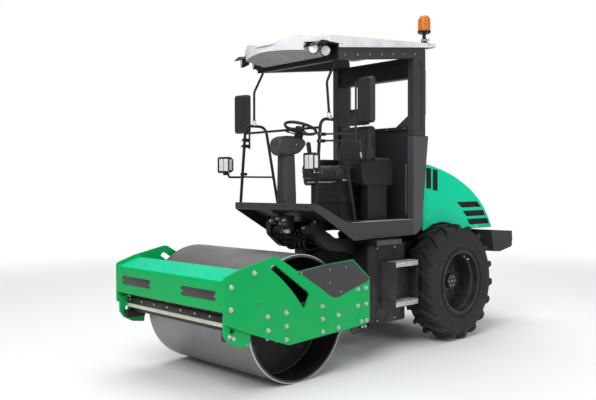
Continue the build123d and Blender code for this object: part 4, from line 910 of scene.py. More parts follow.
def lug(shape, centre, base, hand):
    """One curved tread bar, from the middle down over the shoulder."""
    stations = [
        (-16, 0.0, 583, 15), (12, 0.018, 583, 16), (50, 0.062, 582.4, 17), (92, 0.118, 581.4, 19),
        (128, 0.168, 579, 21), (149, 0.198, 571, 23), (156.5, 0.212, 548, 24), (157.2, 0.222, 512, 22),
        (155.6, 0.23, 486, 16),
    ]
    rings = []
    for x, sweep, top, wide in stations:
        low = min(top - 14, 536 if x < 130 else top - 34)
        halves = [[], []]
        for radius, grow in ((low, 5), (top - 3.0, 0.0), (top, -2.6)):
            place, reach = x, radius
            if x > 150:
                # shoulder stations reach sideways, so their roots lie inside the wall
                sunk = 1 - (radius - low) / (top - low)
                place, reach = x - 16 * sunk, top - 6 * sunk
            for half, sign in zip(halves, (-1, 1)):
                a = base + sweep - 0.11 + sign * (wide + grow) / radius
                half.append(centre - Vector((-hand * place, math.cos(a) * reach, math.sin(a) * reach)) / 1000)
        rings.append(halves[0] + halves[1][::-1])
    shape.loft(rings, "tyre", capped=True)


def rim_trim(side):
    """Wheel nuts, hub bolts, valve and lock ring of one rim."""
    shape = Shape()
    centre = at(side * WHEEL_X, AXLE, TYRE_R)
    out = Vector((side, 0, 0))
    disc, cap = -0.031, 0.029
    for c, s in around(8, 0.133, 0.5):
        spot = centre + Vector((side * disc, c, s))
        shape.bolt(spot, out, 0.034, "rim")
        shape.rod(spot, spot + out * 0.026, 0.008, "cast", 12, 0.002)
    for c, s in around(6, 0.05):
        shape.bolt(centre + Vector((side * cap, c, s)), out, 0.016, "zinc", False)
    shape.rod(centre + out * cap, centre + out * (cap + 0.006), 0.012, "zinc", 6, 0.001)
    ring = [centre + Vector((side * 0.1465, c, s)) for c, s in around(96, 0.312)]
    shape.tube(ring, 0.006, "rim", 8, True)
    a = math.radians(62)
    radial = Vector((0, math.cos(a), math.sin(a)))
    root = centre + out * 0.088 + radial * 0.284
    tip = root - radial * 0.032
    stem = [root, root - radial * 0.018, root - radial * 0.03 + out * 0.02, tip + out * 0.052]
    shape.tube(stem, 0.005, "zinc", 10)
    shape.rod(tip + out * 0.048, tip + out * 0.064, 0.0065, "white", 12, 0.002)
    return shape


# Platform, roof and lamps


def floor_trim():
    """Floor plate, rubber mat, light grey strips by the entrance that paint the light falling there, toe edge
    and bolts of the platform.
    """
    shape = Shape()
    top = [(350, 1404), (366, 1398.5), (510, 1336.5), (696, 1248.5), (767, 1229), (1100, 1229)]
    plate = [(y, z, 0) for y, z in top] + [(y, z - 8, 0) for y, z in reversed(top)]
    shape.slab(plate, -529, 529, "dark_grey", 0.0005)
    for x in (-430, -140, 150):
        shape.box(at(x, 860, FLOOR + 0.5), at(x + 280, 985, FLOOR + 7), "mat", 0.002)
    shape.box(at(-500, 790, FLOOR - 1), at(500, 985, FLOOR + 3.5), "mat", 0.002)
    for row in range(22):
        y = 797 + row * 8.6
        shape.box(at(-496, y, FLOOR + 3), at(496, y + 3.4, FLOOR + 6), "mat", 0.0008)
    for side in (-1, 1):
        # painted light: the strips' light grey stands for light falling on the floor by the entrance
        shape.box(at(side * 405, 995, FLOOR - 1), at(side * 533, 1664, FLOOR + 3), "lit_entry_grey", 0.001)
        shape.box(at(side * 502, 820, FLOOR - 1), at(side * 533, 997, FLOOR + 3), "lit_entry_grey", 0.001)
        for k in range(6):
            spot = at(side * 517, 860 + 150 * k, FLOOR + 3)
            shape.lathe([(0, 0.007), (0.0015, 0.005), (0.002, 0)], spot, UP, "black", 12)
        skirt = [(side * PLATFORM_X, 900 + 220 * k, 1096) for k in range(4)]
        shape.bolts(skirt, (side, 0, 0), 0.014, "dark_grey", False)
    shape.bolts([(x, 335, 1378) for x in (-430, -150, 150, 430)], FRONT, 0.016, "black", False)
    return shape


def guard_rail_bars():
    """Two hoops, their middle bars and the low rail across the front."""
    shape = Shape()
    hoop = [at(HOOP_X, y, z) for y, z in ((372, 1347), (440, 2126), (688, 2126), (880, 1190))]
    shape.tube(rounded(hoop, 0.08, 8), 0.014, "black", 14)
    shape.tube([at(HOOP_X, leg(MIDDLE_BAR, back), MIDDLE_BAR) for back in (0, 1)], 0.009, "black", 12)
    shape.mirrored()
    shape.tube([at(x, leg(CROSS_RAIL, 0), CROSS_RAIL) for x in (-HOOP_X, HOOP_X)], 0.011, "black", 12)
    return shape


def leg(z, back):
    """Lengthwise place of a hoop's front or back leg at a height."""
    return 880 - 192 * (z - 1190) / 936 if back else 372 + 68 * (z - 1347) / 779


def hoop_fittings():
    """Clamps, feet and bright sockets of the front guard rails."""
    shape = Shape()
    foot = [(0, 0.022), (0.03, 0.022), (0.036, 0.017), (0.036, 0.0)]
    shape.lathe(foot, at(HOOP_X, 377, 1340), (0, 0.11, 1), "black", 24)
    socket, lean = at(HOOP_X, 545, 2128), (-0.04, -0.03, 1)
    cup = [(0, 0.017), (0.004, 0.021), (0.026, 0.021), (0.03, 0.0185), (0.05, 0.0185), (0.054, 0.0135)]
    shape.lathe(cup, socket, lean, "white", 28)
    shape.lathe([(0.006, 0.0225), (0.01, 0.0225), (0.012, 0.021)], socket, lean, "zinc", 28)
    shape.bolt(at(520, 545, 2148), LEFT, 0.018)
    for z in (1935, 1992, 1668):
        y = leg(z, 0)
        shape.box(at(484, y - 17, z - 13), at(515, y + 46, z + 13), "black", 0.004)
        shape.bolts([(515, y - 8, z), (515, y + 36, z)], LEFT, 0.013, "zinc", False)
    return shape.mirrored()


def roof_side(y):
    """Height of the roof's side line at a lengthwise place."""
    return 2735 + 0.132 * (y - 580)


def roof_top(y):
    """Height of the roof's top at a lengthwise place."""
    return 2806 + 156 * (y - 245) / 1785


def frame_bolts():
    """Bolts and seam lines of the rollover frame."""
    shape = Shape()
    shape.bolts([(PLATFORM_X, y, z) for y in (1690, 1838) for z in (2058, 2100)], LEFT, 0.022, "dark_grey")
    header = [(PLATFORM_X, y, roof_side(y) - 62) for y in range(700, 1691, 165)]
    shape.bolts(header, LEFT, 0.015, "zinc", False)
    shape.box(at(464, 1668, 2036), at(538.2, 1906, 2043), "black", 0.001)
    shape.bolts([(x, 1702, 2690) for x in (470, -190, 0, 190, 380)], FRONT, 0.016, "zinc", False)
    return shape.mirrored()


def bulkhead_trim():
    """Bright edge strips and ledge bolts of the rear wall."""
    shape = Shape()
    for side in (-1, 1):
        shape.box(at(side * 432, 1679, 1270), at(side * 440, 1689, 1770), "zinc", 0.0015)
    shape.bolts([(x, 1675, 2115) for x in (-420, -210, 0, 210, 420)], FRONT, 0.015, "zinc", False)
    return shape


def roof_trim():
    """Screws along the roof's sides and top, and fixings under its lip."""
    shape = Shape()
    for side in (-1, 1):
        for y in range(640, 1891, 250):
            screw = [(0, 0.009), (0.003, 0.008), (0.005, 0.003), (0.005, 0)]
            shape.lathe(screw, at(side * 556, y, roof_side(y) + 26), (side, 0, 0), "zinc", 14)
        for y in range(760, 1721, 320):
            screw = [(0, 0.01), (0.003, 0.008), (0.005, 0.003), (0.005, 0)]
            shape.lathe(screw, at(side * 470, y, roof_top(y)), (0, -0.087, 1), "zinc", 14)
    lip = 2720 - 48 * 195 / 335 - 0.5
    for x in range(-320, 321, 160):
        shape.lathe([(0, 0.007), (0.003, 0.005), (0.003, 0)], at(x, 440, lip), (0, -0.14, -1), "black", 12)
    return shape


def lamp_face(shape, middle, axis, radius, name="lens"):
    """Bezel, lens, reflector and bulb of one round lamp."""
    bezel = [(-0.002, 1.0), (0.006, 1.06), (0.012, 1.02), (0.013, 0.93), (0.008, 0.9)]
    glass = [(0.0075, 0.91), (0.012, 0.7), (0.0145, 0.35), (0.015, 0)]
    bowl = [(0.0065, 0.9), (0.003, 0.7), (0.001, 0.3), (0.001, 0)]
    for profile, look in ((bezel, "black"), (glass, name), (bowl, "reflector")):
        shape.lathe([(along, radius * share) for along, share in profile], middle, axis, look, 40)
    shape.lathe([(0.002, 0.009), (0.008, 0.008), (0.01, 0.004), (0.01, 0)], middle, axis, "reflector", 16)


def roof_lamp_faces():
    """Faces of the four roof lamps and the edges of their recesses."""
    shape = Shape()
    turn = math.radians(30)
    for x in (385, 530):
        lamp_face(shape, at(473, x, 2708), (math.sin(turn), -math.cos(turn), 0), 0.046)
    for x in (383, 547):
        cover = [at(x, 352, 2728), at(x, 402, 2774.5), at(x, 616, 2774.5)]
        shape.tube(rounded(cover, 0.05), 0.004, "black", 8)
    return shape.mirrored()


def work_lamp_faces():
    """Lens, two reflectors, screws, fins and tail lead of each work lamp."""
    shape = Shape()
    place = Matrix.Translation(at(575, 263, 1753)) @ Matrix.Rotation(math.radians(-8), 4, "Z")
    shape.box((-0.056, -0.0335, -0.056), (0.056, -0.029, 0.056), "lens", 0.002, place)
    shape.box((-0.0665, -0.0305, -0.0665), (0.0665, -0.0285, 0.0665), "black", 0.0008, place)
    shape.box((-0.003, -0.0345, -0.056), (0.003, -0.03, 0.056), "black", 0.001, place)
    for x in (-0.033, 0.033):
        for z in (-0.033, 0.033):
            bowl = place @ Matrix.Translation((x, -0.0292, z))
            shape.lathe([(0.0, 0.029), (0.001, 0.025), (-0.0001, 0.010), (0.001, 0.008), (0.0022, 0)],
                        (0, 0, 0), FRONT, "reflector", 28, bowl)
    for x in (-0.068, 0.068):
        for z in (-0.068, 0.068):
            shape.rod((x, -0.0345, z), (x, -0.0375, z), 0.0045, "zinc", 10, 0.001, place)
    for k in range(7):
        x = -0.054 + 0.018 * k
        shape.box((x - 0.002, 0.012, -0.056), (x + 0.002, 0.043, 0.056), "black", 0.0012, place)
    for side in (-1, 1):
        x = side * 0.073
        shape.box((x - 0.004, -0.03, -0.05), (x + 0.004, 0.004, 0.05), "white", 0.002, place)
    shape.box((-0.03, -0.012, -0.096), (0.03, 0.014, -0.074), "black", 0.004, place)
    shape.bolt((0.03, 0.001, -0.085), LEFT, 0.016, "zinc", False, place)
    return shape.mirrored()


def mirror_faces():
    """Glass, rim and back ribs of both outside mirrors."""
    shape = Shape()
    place = Matrix.Translation(at(814, 655, 2270)) @ Matrix.Rotation(math.radians(-8), 4, "Z")
    outline = []
    corners = ((0.058, 0.152, 0), (-0.058, 0.152, 90), (-0.058, -0.152, 180), (0.058, -0.152, 270))
    for cx, cz, start in corners:
        for k in range(7):
            a = math.radians(start + 15 * k)
            outline.append(place @ Vector((cx + 0.026 * math.cos(a), 0.0226, cz + 0.026 * math.sin(a))))
    normal = place.to_3x3() @ Vector((0, 1, 0))
    shape.sheet(outline, normal, 0.0012, "mirror")
    rim = [p + normal * 0.001 for p in outline]
    shape.tube(rim, 0.004, "plastic", 8, True)
    for z in (-0.12, -0.06, 0.0, 0.06, 0.12):
        shape.box((-0.06, -0.0245, z - 0.004), (0.06, -0.021, z + 0.004), "plastic", 0.0015, place)
    return shape.mirrored()


def beacon_parts():
    """Amber dome with its ribs, clamp ring, stem and rubber foot."""
    base = at(470, 1925, roof_top(1925))
    foot = Shape()
    stem = [
        (-0.004, 0.06), (0.006, 0.06), (0.012, 0.052), (0.016, 0.032), (0.022, 0.029), (0.058, 0.026),
        (0.062, 0.018), (0.1, 0.018), (0.104, 0.03), (0.108, 0.058), (0.116, 0.066), (0.13, 0.067),
        (0.134, 0.06), (0.134, 0.0),
    ]
    foot.lathe(stem, base, UP, "black", 48)
    foot.lathe([(0.03, 0.031), (0.034, 0.034), (0.046, 0.034), (0.05, 0.03)], base, UP, "zinc", 6)
    foot.rod(base + Vector((0.03, 0, 0.04)), base + Vector((0.058, 0, 0.04)), 0.005, "zinc", 10, 0.001)
    foot.rod(base + Vector((0.058, 0, 0.024)), base + Vector((0.058, 0, 0.056)), 0.005, "zinc", 10, 0.002)
    foot.lathe([(0.134, 0.034), (0.2, 0.03), (0.236, 0.026), (0.24, 0.0)], base, UP, "reflector", 24)
    dome = Shape()
    profile = [
        (0.13, 0.0615), (0.15, 0.0615), (0.238, 0.0598), (0.256, 0.056), (0.27, 0.049), (0.28, 0.036),
        (0.2865, 0.02), (0.289, 0.0),
    ]
    dome.lathe(profile, base, UP, "amber", 56)
    for c, s in around(28, 1):
        out = Vector((c, s, 0))
        low, high = base + out * 0.0605 + Vector((0, 0, 0.142)), base + out * 0.0592 + Vector((0, 0, 0.244))
        dome.rod(low, high, 0.0019, "amber", 6)
    return foot, dome


# Operator's place


def outline_block(name, outline, half_x, bevel=0.02, narrow=None):
    """Side outline given a width, with rounded edges, as a closed mesh."""
    made = extruded(outline, -half_x, half_x)
    if narrow:
        for vert in made.verts:
            vert.co.x *= narrow(vert.co.z * 1000)
    bmesh.ops.bevel(made, geom=made.edges[:], offset=bevel, segments=3, affect="EDGES", profile=0.6)
    mesh = bpy.data.meshes.new(name)
    made.to_mesh(mesh)
    made.free()
    return placed(name, mesh)


def inflate(obj, voxel, frames, cap, keep=None):
    """Swell a closed pad with cloth, capped, then smooth it."""
    remesh = obj.modifiers.new("remesh", "REMESH")
    remesh.mode = "VOXEL"
    remesh.voxel_size = voxel
    apply_modifier(obj, remesh)
    rest = [v.co.copy() for v in obj.data.vertices]
    cloth = obj.modifiers.new("cloth", "CLOTH")
    cloth.settings.quality = 4
    cloth.settings.mass = 0.3
    cloth.settings.tension_stiffness = 25
    cloth.settings.compression_stiffness = 25
    cloth.settings.bending_stiffness = 0.6
    cloth.settings.use_pressure = True
    cloth.settings.uniform_pressure_force = 4.0
    cloth.settings.effector_weights.gravity = 0.0
    cloth.collision_settings.use_collision = False
    cloth.collision_settings.use_self_collision = False
    cloth.point_cache.frame_start = 1
    cloth.point_cache.frame_end = frames
    for frame_number in range(1, frames + 1):
        bpy.context.scene.frame_set(frame_number)
    graph = bpy.context.evaluated_depsgraph_get()
    swollen = [v.co.copy() for v in obj.evaluated_get(graph).data.vertices]
    obj.modifiers.remove(cloth)
    bpy.context.scene.frame_set(1)
    for vert, start, end in zip(obj.data.vertices, rest, swollen):
        move = end - start
        if move.length > cap:
            move *= cap / move.length
        if keep:
            move *= keep(start)
        vert.co = start + move
    smooth = obj.modifiers.new("smooth", "SMOOTH")
    smooth.iterations = 6
    apply_modifier(obj, smooth)


def sew(obj, grooves, depth, width):
    """Press sewn channels: each groove says how far a point is from its line."""
    obj.data.update()
    normals = [v.normal.copy() for v in obj.data.vertices]
    for vert, normal in zip(obj.data.vertices, normals):
        for distance, reach in grooves:
            d = distance(vert.co)
            if d is not None and abs(d) < width * 2.2:
                vert.co -= normal * depth * reach * math.exp(-(d / width) ** 2 * 2)


def upholster(obj, woven, body="rear_frame"):
    """Vinyl with a woven centre, smooth shading and one subdivision."""
    mesh = obj.data
    mesh.materials.clear()
    mesh.materials.append(MATERIALS["vinyl"])
    mesh.materials.append(MATERIALS["cloth"])
    for face in mesh.polygons:
        face.use_smooth = True
        face.material_index = 1 if woven(face.center, face.normal) else 0
    sub = obj.modifiers.new("sub", "SUBSURF")
    sub.levels = sub.render_levels = 1
    apply_modifier(obj, sub)
    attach(obj, body)


def seat():
    """Cushion, backrest and headrest swollen by cloth, with sewn channels."""
    outline = [(916, 1624), (912, 1695), (950, 1732), (1030, 1736), (1330, 1720), (1382, 1720), (1384, 1624)]
    cushion = outline_block("seat_cushion_pad", outline, 240, 0.022)
    inflate(cushion, 0.0065, 18, 0.011, lambda p: 1.0 if p.z > 1.65 else 0.15)
    front = (910 + DRUM_Y) / 1000
    sew(cushion, [(lambda p: abs(p.x) - 0.150 if p.z > 1.68 else None, 1.3)] + [
        (lambda p, back=back: p.y - front - back if abs(p.x) < 0.15 and p.z > 1.68 else None, 0.8)
        for back in (0.12, 0.24, 0.36)
    ] + [(lambda p: p.z - 1.668, 0.7)], 0.007, 0.011)
    upholster(cushion, lambda c, n: abs(c.x) < 0.146 and c.z > 1.69)
    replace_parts(cushion, "seat_cushion")
    outline = [
        (1395, 1692), (1475, 1692), (1499, 1810), (1519, 1990), (1534, 2126), (1511, 2154), (1457, 2152),
        (1435, 2070), (1413, 1925), (1397, 1810),
    ]

    def narrow(z):
        return 1.0 if z < 1930 else 1.0 - 0.2 * min((z - 1930) / 230, 1) ** 1.5

    back = outline_block("seat_back_pad", outline, 222, 0.02, narrow)
    inflate(back, 0.0065, 18, 0.009)
    sew(back, [(lambda p: abs(p.x) - 0.135 if 1.72 < p.z < 2.11 else None, 1.2)] + [
        (lambda p, height=height: p.z - height if abs(p.x) < 0.135 else None, 0.7)
        for height in (1.80, 1.90, 2.00)
    ], 0.006, 0.010)
    upholster(back, lambda c, n: abs(c.x) < 0.132 and n.y < -0.3 and c.z < 2.1)
    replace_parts(back, "seat_back")
    outline = [
        (1453, 2158), (1447, 2250), (1451, 2320), (1475, 2326), (1507, 2320), (1515, 2240), (1517, 2158),
    ]
    head = outline_block("headrest_pad", outline, 123, 0.018)
    inflate(head, 0.006, 16, 0.007, lambda p: 0.2 if p.z < 2.18 else 1.0)
    sew(head, [(lambda p: abs(p.x) - 0.085 if p.z > 2.17 else None, 1.0)], 0.004, 0.008)
    upholster(head, lambda c, n: abs(c.x) < 0.08 and n.y < -0.3)


def seat_hardware():
    """Back shell, belt with buckle, slide rails, levers and armrests."""
    shape = Shape()
    for side in (-1, 1):
        shape.box(at(side * 212 - 12, 1010, 1604), at(side * 212 + 12, 1400, 1620), "zinc", 0.003)
        shape.rod(at(side * 242, 1372, 1640), at(side * 262, 1372, 1640), 0.03, "plastic", 28, 0.006)
        shape.box(at(side * 246 - 5, 1340, 1612), at(side * 246 + 5, 1420, 1760), "black", 0.003)
    belt = [at(-262, 1372, 1650), at(-258, 1300, 1742), at(-150, 1240, 1757), at(120, 1240, 1757)]
    strip(shape, rounded(belt, 0.05), 0.046, 0.0022, "webbing")
    shape.box(at(108, 1210, 1752), at(176, 1272, 1768), "plastic", 0.005)
    shape.box(at(124, 1226, 1767), at(160, 1256, 1770), "red", 0.002)
    belt = [at(170, 1240, 1758), at(235, 1262, 1748), at(258, 1340, 1662)]
    strip(shape, rounded(belt, 0.04), 0.046, 0.0022, "webbing")
    shape.rod(at(-150, 905, 1590), at(150, 905, 1590), 0.007, "zinc", 12, 0.002)
    shape.rod(at(-150, 905, 1590), at(-150, 1010, 1600), 0.007, "zinc", 12, 0.002)
    shape.rod(at(150, 905, 1590), at(150, 1010, 1600), 0.007, "zinc", 12, 0.002)
    for side in (-1, 1):
        shape.rod(at(side * 60, 1490, 2150), at(side * 60, 1488, 2186), 0.008, "zinc", 12)
    shape.box(at(-190, 1494, 1720), at(190, 1506, 1900), "plastic", 0.006)
    return shape


def strip(shape, path, width, thick, name):
    """Flat band along a path, its flat side up."""
    rings = []
    total = len(path)
    for i, point in enumerate(path):
        heading = (path[min(i + 1, total - 1)] - path[max(i - 1, 0)]).normalized()
        across = heading.cross(Vector(UP))
        if across.length < 0.2:
            across = Vector(LEFT)
        across.normalize()
        over = across.cross(heading).normalized() * thick / 2
        half = across * width / 2
        rings.append([point - half - over, point + half - over, point + half + over, point - half + over])
    shape.loft(rings, name, capped=True)


def console_trim():
    """Armrest pads, lever boots, switches and grips on both side consoles."""
    rest = [
        (1100, 1560, 30), (1070, 1720, 15), (1090, 1780, 30), (1270, 1800, 40), (1530, 1790, 30),
        (1530, 1560, 30),
    ]
    foot = [(1180, 1230, 0), (1180, 1566, 0), (1460, 1566, 0), (1460, 1230, 0)]
    grip = [
        (0, 0.012), (0.012, 0.02), (0.05, 0.0235), (0.085, 0.0225), (0.1, 0.0245), (0.116, 0.02),
        (0.124, 0.008), (0.125, 0),
    ]
    folds = []
    for k in range(6):
        folds += [(0.008 * k, 0.042 - 0.005 * k), (0.008 * k + 0.004, 0.036 - 0.005 * k)]
    shape = Shape()
    for side in (-1, 1):
        x = side * CONSOLE_X
        shape.slab(rest, x - 62, x + 62, "dark_inside_and_shade", 0.012)
        shape.slab(foot, x - 43, x + 43, "dark_inside_and_shade", 0.006)
        shape.rod(at(x, 1150, 1770), at(x, 1121, 1890), 0.008, "zinc", 14)
        shape.box(at(x - 50, 1280, 1790), at(x + 50, 1500, 1822), "vinyl", 0.014)
        shape.lathe([(-0.012, 0.046)] + folds + [(0.05, 0.01)], at(x, 1146, 1768), (0, -0.12, 1), "hose", 28)
        shape.lathe(grip, at(x, 1125, 1872), (0, -0.18, 1), "plastic", 28)
        knob = "red" if side > 0 else "white"
        shape.rod(at(x, 1112, 1920), at(x, 1104, 1922), 0.008, knob, 16, 0.002)
        for y in (1196, 1230):
            for low in (x - 38, x + 2):
                shape.box(at(low, y, 1793), at(low + 30, y + 26, 1803), "plastic", 0.003)
        shape.box(at(x - 46, 1186, 1786), at(x + 46, 1262, 1795), "pod", 0.004)
    return shape


def steering_trim():
    """Ribbed column and pod with gauges, keys, stalk and gaiter."""
    shape = Shape()
    column = [
        (432, 1364, 0), (572, 1302, 0), (580, 1430, 40), (560, 1880, 0), (440, 1880, 0), (428, 1430, 60),
    ]
    shape.slab(column, -52, 52, "pod", 0.01)
    rib = [(422, 1450, 0), (433, 1840, 0), (450, 1840, 0), (450, 1450, 0)]
    for x in (-33, -11, 11, 33):
        shape.slab(rib, x - 5, x + 5, "pod", 0.002)
    pod = [
        (350, 1898, 50), (380, 1838, 40), (450, 1820, 60), (610, 1850, 40), (692, 1930, 30), (680, 1978, 25),
        (450, 2010, 80), (365, 1970, 55),
    ]
    shape.slab(pod, -72, 72, "pod", 0.024)
    slope = Vector((0, 0.138, 1)).normalized()
    for x, y, r in ((-30, 540, 0.022), (30, 540, 0.022), (0, 592, 0.018)):
        spot = at(x, y, 1999 - 0.139 * (y - 530))
        bezel = [(-0.004, r * 1.14), (0.004, r * 1.14), (0.006, r * 1.02), (0.003, r)]
        shape.lathe(bezel, spot, slope, "plastic", 32)
        shape.lathe([(0.0032, r), (0.0035, 0)], spot, slope, "display", 32)
        for k in range(9):
            a = math.radians(-130 + 32.5 * k)
            dial = Vector((math.sin(a), -math.cos(a), 0)) * r
            tip = spot + Vector((0, 0, 0.0042))
            shape.rod(tip + dial * 0.74, tip + dial * 0.92, 0.0009, "white", 6)
    for k in range(4):
        spot = at(-36 + 24 * k, 655, 1982)
        shape.box(spot + Vector((-0.009, -0.011, -0.008)), spot + Vector((0.009, 0.011, 0.005)),
                  "plastic", 0.003)
        shape.box(spot + Vector((-0.003, -0.007, 0.004)), spot + Vector((0.003, -0.004, 0.0065)),
                  "white", 0.0008)
    shape.rod(at(70, 560, 1925), at(79, 560, 1925), 0.010, "zinc", 20, 0.002)
    shape.box(at(78, 557, 1912), at(92, 563, 1930), "plastic", 0.003)
    stalk = rounded([at(-30, 660, 2030), at(-86, 650, 2042), at(-122, 640, 2056)], 0.03)
    shape.tube(stalk, 0.0055, "plastic", 10)
    shape.rod(at(-116, 642, 2054), at(-150, 634, 2068), 0.011, "plastic", 20, 0.004)
    gaiter = [(-0.13, 0.052)]
    for k in range(8):
        gaiter += [(-0.118 + 0.011 * k, 0.046 - 0.001 * k), (-0.1125 + 0.011 * k, 0.038 - 0.001 * k)]
    axis = (0, math.sin(WHEEL_TILT), math.cos(WHEEL_TILT))
    shape.lathe(gaiter + [(-0.03, 0.03)], at(*WHEEL_HUB), axis, "hose", 32)
    return shape


def steering_wheel_piece():
    """Grippy rim, three dished spokes, horn cap and spinner knob."""
    shape = Shape()
    turn = Matrix.Translation(at(*WHEEL_HUB)) @ Matrix.Rotation(-WHEEL_TILT, 4, "X")
    rings = []
    for i, (c, s) in enumerate(around(96, 1)):
        point = Vector((c, s, 0)) * WHEEL_R
        out, ring = point.normalized(), []
        for along, over in around(16, 1):
            r = 0.0138 + (0.0006 if i % 4 < 2 and over < -0.2 else 0)
            ring.append(point + out * along * r + Vector((0, 0, over * r)))
        rings.append(ring)
    shape.loft(rings, "plastic", closed=True, matrix=turn)
    path = [
        (0.03, -0.004, 17), (0.05, -0.009, 15), (0.085, -0.012, 13), (0.11, -0.009, 12), (0.13, -0.004, 13),
        (0.143, 0.0, 16),
    ]
    section = [(-1, -0.6), (1, -0.6), (1.0, 0.0), (0.72, 0.6), (-0.72, 0.6), (-1.0, 0.0)]
    rings = [[(x, dy * wide / 1000, z + dz * 0.0075) for dy, dz in section] for x, z, wide in path]
    for degrees in (90, 210, 330):
        shape.loft(rings, "plastic", matrix=turn @ Matrix.Rotation(math.radians(degrees), 4, "Z"))
    cap = [(-0.024, 0.03), (-0.02, 0.037), (0.002, 0.04), (0.008, 0.036), (0.011, 0.028)]
    badge = [(0.0105, 0.0285), (0.0125, 0.024), (0.0135, 0.0)]
    shaft = [(-0.15, 0.0), (-0.15, 0.0215), (-0.02, 0.0215), (-0.02, 0.0)]
    for profile, look, count in ((cap, "plastic", 40), (badge, "pod", 40), (shaft, "zinc", 28)):
        shape.lathe(profile, (0, 0, 0), UP, look, count, turn)
    knob = turn @ Matrix.Rotation(math.radians(150), 4, "Z") @ Matrix.Translation((WHEEL_R, 0, 0.013))
    ball = [
        (0, 0.008), (0.012, 0.008), (0.016, 0.016), (0.03, 0.021), (0.042, 0.018), (0.048, 0.008), (0.049, 0),
    ]
    shape.lathe(ball, (0, 0, 0), UP, "plastic", 24, knob)
    return shape


# Hood and rear


VENTS = [
    [(1990, 1530), (1990, 1738), (2074, 1730), (2074, 1522)],
    [(2100, 1510), (2100, 1727), (2186, 1714), (2186, 1500)],
    [(2524, 1384), (2915, 1384), (2999, 1322), (2620, 1322)],
    [(2640, 1287), (3036, 1287), (3084, 1225), (2712, 1225)],
    [(2716, 1196), (3121, 1196), (3157, 1134), (2776, 1134)],
]


def hood_curve(inset):
    """Hood's top line as arcs that run on from each other, moved inward."""
    points = [Vector(p) for p in ((1940, 1785), (2400, 1690), (2790, 1530), (3063, 1330), (3235, 1090))]
    heading, line = Vector((1, -0.12)).normalized(), []
    for start, end in zip(points, points[1:]):
        across = Vector((-heading.y, heading.x))
        chord = end - start
        radius = chord.length_squared / (2 * across.dot(chord))
        centre = start + across * radius
        sweep = 2 * math.asin(max(-1, min(1, chord.length / (2 * radius))))
        for k in range(10):
            turn = Matrix.Rotation(sweep * k / 9, 2)
            spoke = turn @ (start - centre)
            if k or not line:
                line.append(centre + spoke * (1 + inset / radius))
        heading = turn @ heading
    return [(p.x, p.y, 0) for p in line]


def hood_shell():
    """Hollow engine hood with rounded top edges and its vents cut through."""
    arch = [(2580, 1090), (2500, 1132), (2400, 1167), (2255, 1184), (2110, 1167), (1990, 1124), (1940, 1099)]
    outer = hood_curve(0) + [(y, z, 0) for y, z in arch]
    shape = Shape()
    shape.slab(outer, -HOOD_X, HOOD_X, "hood", 0.03, lambda m: m.z > 1.095 and (m.z > 1.2 or m.y > 1.5))
    shell = loose("hood_shell", shape)
    inside = HOOD_X - HOOD_WALL
    inner = hood_curve(HOOD_WALL) + [(3223, 1060, 0), (1952, 1060, 0)]
    inner[0] = (inner[0][0] + HOOD_WALL, *inner[0][1:])
    cut = Shape()
    cut.slab(inner, -inside, inside, "hood", 0.018, lambda m: m.z > 1.2)
    subtract(shell, cut)
    cut = Shape()
    cut.box(at(-inside, 1930, 1060), at(inside, 1975, 1700), "hood", 0.001)
    for vent in VENTS:
        corners = [(y, z, 8) for y, z in vent]
        cut.slab(corners, 425, 470, "hood", 0)
        cut.slab(corners, -470, -425, "hood", 0)
    subtract(shell, cut)
    finish_mesh(shell, 0.5)
    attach(shell, "hood")
    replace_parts(shell, "hood")


def span_at(outline, place, axis):
    """Ends of an outline's inside along a line at that place."""
    ends = []
    for a, b in zip(outline, outline[1:] + outline[:1]):
        if min(a[axis], b[axis]) <= place < max(a[axis], b[axis]):
            share = (place - a[axis]) / (b[axis] - a[axis])
            ends.append(a[1 - axis] + share * (b[1 - axis] - a[1 - axis]))
    return min(ends), max(ends)


def hood_trim():
    """Louvres of the hood's vents, dark mesh behind them and latches."""
    latch = [(0, 0.016), (0.003, 0.015), (0.004, 0.009), (0.002, 0.008), (0.002, 0)]
    shape = Shape()
    for y, z in ((2030, 1230), (2900, 1112)):
        shape.lathe(latch, at(HOOD_X, y, z), LEFT, "zinc", 20)
    for vent in VENTS:
        middle = Vector((sum(y for y, z in vent) / 4, sum(z for y, z in vent) / 4))
        backing = [middle + (Vector(p) - middle) * 1.08 for p in vent]
        shape.sheet([at(434, y, z) for y, z in backing], (-1, 0, 0), 0.0015, "dark_inside_and_shade")
        rim = [middle + (Vector(p) - middle) * 0.99 for p in vent]
        shape.tube([at(445, y, z) for y, z in rim], 0.004, "plastic", 8, True)
        tall = vent[1][0] == vent[0][0]
        axis = 0 if tall else 1
        low, high = min(p[axis] for p in vent), max(p[axis] for p in vent)
        count = round((high - low) / 15)
        for k in range(count):
            place = low + (k + 0.5) * (high - low) / count
            ends = [(place, end) if tall else (end, place) for end in span_at(vent, place, axis)]
            shape.tube([at(441, *end) for end in ends], 0.0032, "plastic", 6)
    return shape.mirrored()


def rear_trim():
    """Corner reflectors, tow pin and bolts on the rear weight."""
    shape = Shape()
    for side in (-1, 1):
        turn = Matrix.Rotation(side * math.radians(-45), 4, "Z")
        place = Matrix.Translation(at(side * 571, 3441, 960)) @ turn
        shape.box((-0.034, -0.006, -0.026), (0.034, 0.0, 0.026), "black", 0.004, place)
        shape.box((-0.029, -0.002, -0.021), (0.029, 0.003, 0.021), "red", 0.003, place)
    shape.rod(at(0, 3400, 1046), at(0, 3400, 1066), 0.016, "zinc", 20, 0.004)
    return shape


# Putting it together


